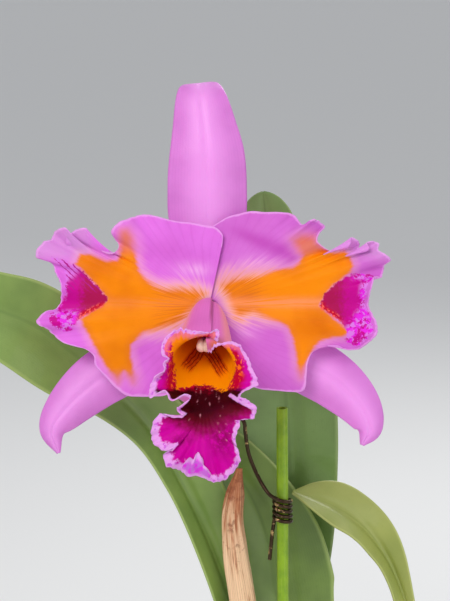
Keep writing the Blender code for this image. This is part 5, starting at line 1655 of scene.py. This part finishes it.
def rhizome_finish():
    made, tree, shader = new_finish("rhizome_bark", 0.7)
    spot = place_on(tree)
    flakes = grain(tree, spot, 240.0, 4.0, 0.65)
    tone = mixed(tree, rise(tree, flakes, 0.4, 0.62), paint(120, 104, 62), paint(78, 84, 42))
    feed(tree, shader.inputs["Base Color"], tone)
    feed(tree, shader.inputs["Normal"], bump(tree, flakes, 0.6, 0.0006))
    return made


def root_finish():
    made, tree, shader = new_finish("root_skin", 0.75)
    spot = place_on(tree)
    felt = grain(tree, spot, 900.0, 3.0, 0.6)
    patches = grain(tree, spot, 140.0, 3.0)
    tone = mixed(tree, rise(tree, patches, 0.35, 0.65), paint(206, 204, 188), paint(160, 160, 132))
    tone = mixed(tree, number(tree, "tip"), tone, paint(120, 150, 66))
    feed(tree, shader.inputs["Base Color"], tone)
    feed(tree, shader.inputs["Normal"], bump(tree, felt, 0.4, 0.0003))
    return made


level = BARK_TOP + GAP + RHIZOME_RADIUS
rhizome_route = vectors([(x, y, level) for x, y in RHIZOME_ROUTE])
rhizome_radii = []
for k in range(61):
    scar = SCAR_DEPTH * (0.5 + 0.5 * math.cos(k * 1.9))
    rhizome_radii.append(blend(RHIZOME_GIRTHS, k / 60) * (1.0 - scar))
bm = rod_mesh(rhizome_route, rhizome_radii, 40, 150)
rhizome = make_piece("rhizome_stem", bm, [rhizome_finish()])
settle(rhizome, "rhizome", "rhizome")

root_skin = root_finish()
ROOT_STARTS = [(-20, -6, -160), (-14, -3, -75), (-6, 1, 115), (4, 6, -50), (12, 15, 150),
               (22, 16, 40), (34, 9, -35), (42, 6, 60)]
root_level = BARK_TOP + BARK_RELIEF + GAP + ROOT_RADIUS
for k, (x, y, heading) in enumerate(ROOT_STARTS):
    points = []
    place = Vector((x, y, root_level))
    for step in range(6):
        points.append(place.copy())
        turn = math.radians(heading + 32 * math.sin(1.7 * step + k))
        stride = Vector((math.cos(turn), math.sin(turn), 0.0)) * ROOT_STRIDE
        if (place + stride).xy.length > ROOT_LIMIT:
            stride = (stride - place.normalized() * 5.0) * 0.55
        place = place + stride
        place.z = root_level
    points[-1].z -= ROOT_DIP
    bm = rod_mesh(points, [ROOT_RADIUS] * 5 + [ROOT_RADIUS * 0.62], 20, 60)
    tips = []
    for vertex in bm.verts:
        tips.append(1.0 - ramp((vertex.co - points[-1]).length, 3.0, 8.0))
        vertex.co.z += 0.35 * noise.noise(vertex.co * 0.25)
    root = make_piece(f"root_{k + 1}", bm, [root_skin])
    write_number(root, "tip", tips)
    settle(root, "rhizome")

# %% [markdown]
# The pot is filled with chips of fir bark. A plain plug of fill reaches nearly to the top, and the
# chips lie on it in a loose layer. Each chip is a cube stretched to a slab, cut into a few faces and
# pushed about by noise, so that no two are alike, and is dropped at a place and a tilt drawn from a
# seeded random row. The noise has a seed too, so every run gives the same chips. No chip lies where
# the stake goes in.

# %% The bark filling
POT_HEIGHT, POT_BASE_RADIUS, POT_WALL, POT_FLOOR = 100.0, 40.0, 4.5, 6.0
RIM_HEIGHT, RIM_RADIUS, RIM_STEP = 20.0, 59.5, 4.0
FOOT_INSIDE, TOP_INSIDE = POT_BASE_RADIUS - POT_WALL, RIM_RADIUS - POT_WALL - 0.8
FILL_TOP = 84.5
CHIP_COUNT, CHIP_REACH, CHIP_TOP, CHIP_TILT = 330, 46.5, 87.0, 0.22
CHIP_SEED = 41
STAKE_CLEARANCE = 9.0


def inner_radius(height):
    """The pot's inner radius at a height."""
    share = (height - POT_FLOOR) / (POT_HEIGHT - 1.0 - POT_FLOOR)
    return FOOT_INSIDE + (TOP_INSIDE - FOOT_INSIDE) * share


def bark_finish():
    made, tree, shader = new_finish("fir_bark", 0.85)
    spot = place_on(tree)
    fibre = grain(tree, squeezed(tree, spot, (1.0, 0.3, 1.0)), 700.0, 4.0, 0.6)
    layers = grain(tree, spot, 160.0, 4.0, 0.65)
    tone = mixed(tree, number(tree, "tone"), paint(96, 62, 40), paint(150, 102, 66))
    tone = mixed(tree, rise(tree, layers, 0.45, 0.65), tone, paint(70, 44, 30))
    tone = coated(tree, tone, paint(176, 134, 92), rise(tree, fibre, 0.52, 0.7), 0.5)
    feed(tree, shader.inputs["Base Color"], tone)
    height = sums(tree, "MULTIPLY_ADD", layers, 1.5, fibre)
    feed(tree, shader.inputs["Normal"], bump(tree, height, 0.7, 0.0008))
    return made


draw = random.Random(CHIP_SEED)
noise.seed_set(CHIP_SEED)
bm = bmesh.new()
tone_layer = bm.verts.layers.float.new("tone")
bmesh.ops.create_cube(bm, size=1.0)
bmesh.ops.subdivide_edges(bm, edges=bm.edges, cuts=1, use_grid_fill=True)
first_chip = list(bm.verts) + list(bm.edges) + list(bm.faces)
plug = bmesh.ops.create_cone(
    bm, cap_ends=True, segments=96, radius1=inner_radius(POT_FLOOR) - GAP,
    radius2=inner_radius(FILL_TOP) - GAP, depth=FILL_TOP - POT_FLOOR - GAP,
)["verts"]
bmesh.ops.translate(bm, verts=plug, vec=(0.0, 0.0, (FILL_TOP + POT_FLOOR + GAP) / 2.0))
stake_at = STAKE_FOOT.lerp(STAKE_TOP, (BARK_TOP - STAKE_FOOT.z) / (STAKE_TOP.z - STAKE_FOOT.z))
chips = 0
while chips < CHIP_COUNT:
    angle, reach = draw.uniform(0.0, math.tau), math.sqrt(draw.random()) * CHIP_REACH
    size = Vector((draw.uniform(7, 14), draw.uniform(5, 9), draw.uniform(2.2, 4.2)))
    height = draw.uniform(FILL_TOP, CHIP_TOP)
    centre = Vector((math.cos(angle) * reach, math.sin(angle) * reach, height))
    turned = Matrix.Rotation(draw.uniform(0.0, math.tau), 3, "Z")
    tipped = Matrix.Rotation(draw.gauss(0.0, CHIP_TILT), 3, "X")
    tilt = turned @ (tipped @ Matrix.Rotation(draw.gauss(0.0, CHIP_TILT), 3, "Y"))
    if (centre.xy - stake_at.xy).length < STAKE_CLEARANCE:
        continue
    shade = draw.random()
    for item in bmesh.ops.duplicate(bm, geom=first_chip)["geom"]:
        if isinstance(item, bmesh.types.BMVert):
            soft = item.co.lerp(item.co.normalized() * 0.62, 0.35)
            rough = noise.noise_vector(item.co * 2.3 + Vector((chips * 3.1, 0.0, 0.0))) * 0.14
            item.co = centre + tilt @ ((soft + rough) * size)
            item[tone_layer] = shade
    chips += 1
bmesh.ops.delete(bm, geom=[item for item in first_chip if isinstance(item, bmesh.types.BMVert)])
bmesh.ops.recalc_face_normals(bm, faces=bm.faces)
bark = make_piece("bark_chips", bm, [bark_finish()], crease=38.0)
settle(bark, "bark", "bark_filling")
print("chips:", chips)

# %% [markdown]
# The pot is a plain clay one. Its outline, half a cut through the wall, is spun round the axis, and
# four drainage holes are cut through the floor with a Boolean whose result is kept as the mesh. Clay
# is never one colour: it is paler where lime dries out of it and darker where it stays damp.

# %% The clay pot
def clay_finish():
    made, tree, shader = new_finish("terracotta", 0.85)
    spot = place_on(tree)
    clouds = grain(tree, spot, 28.0, 5.0, 0.6)
    sand = grain(tree, spot, 1400.0, 3.0, 0.7)
    shaded_pits = rise(tree, grain(tree, spot, 520.0, 3.0, 0.6), 0.68, 0.75)
    tone = mixed(tree, rise(tree, clouds, 0.35, 0.68), paint(190, 104, 66), paint(168, 84, 52))
    lime = rise(tree, grain(tree, spot, 46.0, 6.0, 0.7), 0.55, 0.75)
    tone = coated(tree, tone, paint(222, 186, 158), lime, 0.45)
    tone = coated(tree, tone, paint(214, 138, 100), rise(tree, sand, 0.55, 0.75), 0.3)
    # painted shade: the small pits that the bump sinks are darkened
    tone = coated(tree, tone, paint(120, 58, 38), shaded_pits, 0.5)
    feed(tree, shader.inputs["Base Color"], tone)
    height = sums(tree, "MULTIPLY_ADD", shaded_pits, -1.2, sand)
    feed(tree, shader.inputs["Normal"], bump(tree, height, 0.45, 0.0004))
    return made


shoulder = POT_HEIGHT - RIM_HEIGHT
side_top = RIM_RADIUS - RIM_STEP - 1.0
POT_OUTLINE = [
    (0.0, POT_FLOOR), (FOOT_INSIDE - 1.5, POT_FLOOR),
    (FOOT_INSIDE + 0.4, POT_FLOOR + 1.5), (TOP_INSIDE, POT_HEIGHT - 1.2),
    (TOP_INSIDE + 0.4, POT_HEIGHT - 0.3), (TOP_INSIDE + 1.2, POT_HEIGHT),
    (RIM_RADIUS - 1.6, POT_HEIGHT), (RIM_RADIUS - 0.4, POT_HEIGHT - 0.4),
    (RIM_RADIUS, POT_HEIGHT - 1.6), (RIM_RADIUS - 1.0, shoulder + 1.2),
    (RIM_RADIUS - 1.4, shoulder + 0.3), (RIM_RADIUS - 2.4, shoulder),
    (side_top + 0.5, shoulder), (side_top, shoulder - 0.6), (POT_BASE_RADIUS, 1.6),
    (POT_BASE_RADIUS - 0.4, 0.4), (POT_BASE_RADIUS - 1.6, 0.0), (0.0, 0.0),
]
bm = bmesh.new()
corners = [bm.verts.new((radius, 0.0, height)) for radius, height in POT_OUTLINE]
for first, second in zip(corners, corners[1:]):
    bm.edges.new((first, second))
bmesh.ops.spin(
    bm, geom=list(bm.verts) + list(bm.edges), cent=(0, 0, 0), axis=(0, 0, 1), angle=math.tau,
    steps=144, use_merge=True,
)
bmesh.ops.remove_doubles(bm, verts=bm.verts, dist=0.001)
bmesh.ops.recalc_face_normals(bm, faces=bm.faces)
pot = make_piece("clay_pot", bm, [clay_finish()], crease=32.0)

DRAIN_RADIUS, DRAIN_CIRCLE, DRAIN_COUNT = 4.0, 22.0, 4
drills = []
for k in range(DRAIN_COUNT):
    turn = math.radians(45 + 360 / DRAIN_COUNT * k)
    place = (DRAIN_CIRCLE * math.cos(turn), DRAIN_CIRCLE * math.sin(turn), POT_FLOOR / 2.0)
    drill_bm = bmesh.new()
    bmesh.ops.create_cone(
        drill_bm, cap_ends=True, segments=32, radius1=DRAIN_RADIUS, radius2=DRAIN_RADIUS,
        depth=20.0, matrix=Matrix.Translation(place),
    )
    drill = make_piece(f"drill_{k + 1}", drill_bm, [])
    drills.append(drill)
    hole = pot.modifiers.new("Drainage hole", "BOOLEAN")
    hole.object = drill
    hole.solver = "EXACT"
bpy.context.view_layer.update()
drilled = bpy.data.meshes.new_from_object(pot.evaluated_get(bpy.context.evaluated_depsgraph_get()))
pot.modifiers.clear()
pot.data = drilled
for drill in drills:
    bpy.data.objects.remove(drill)
settle(pot, "clay", "pot")

# %% [markdown] The visual model has to stay as large as the solids it dresses.
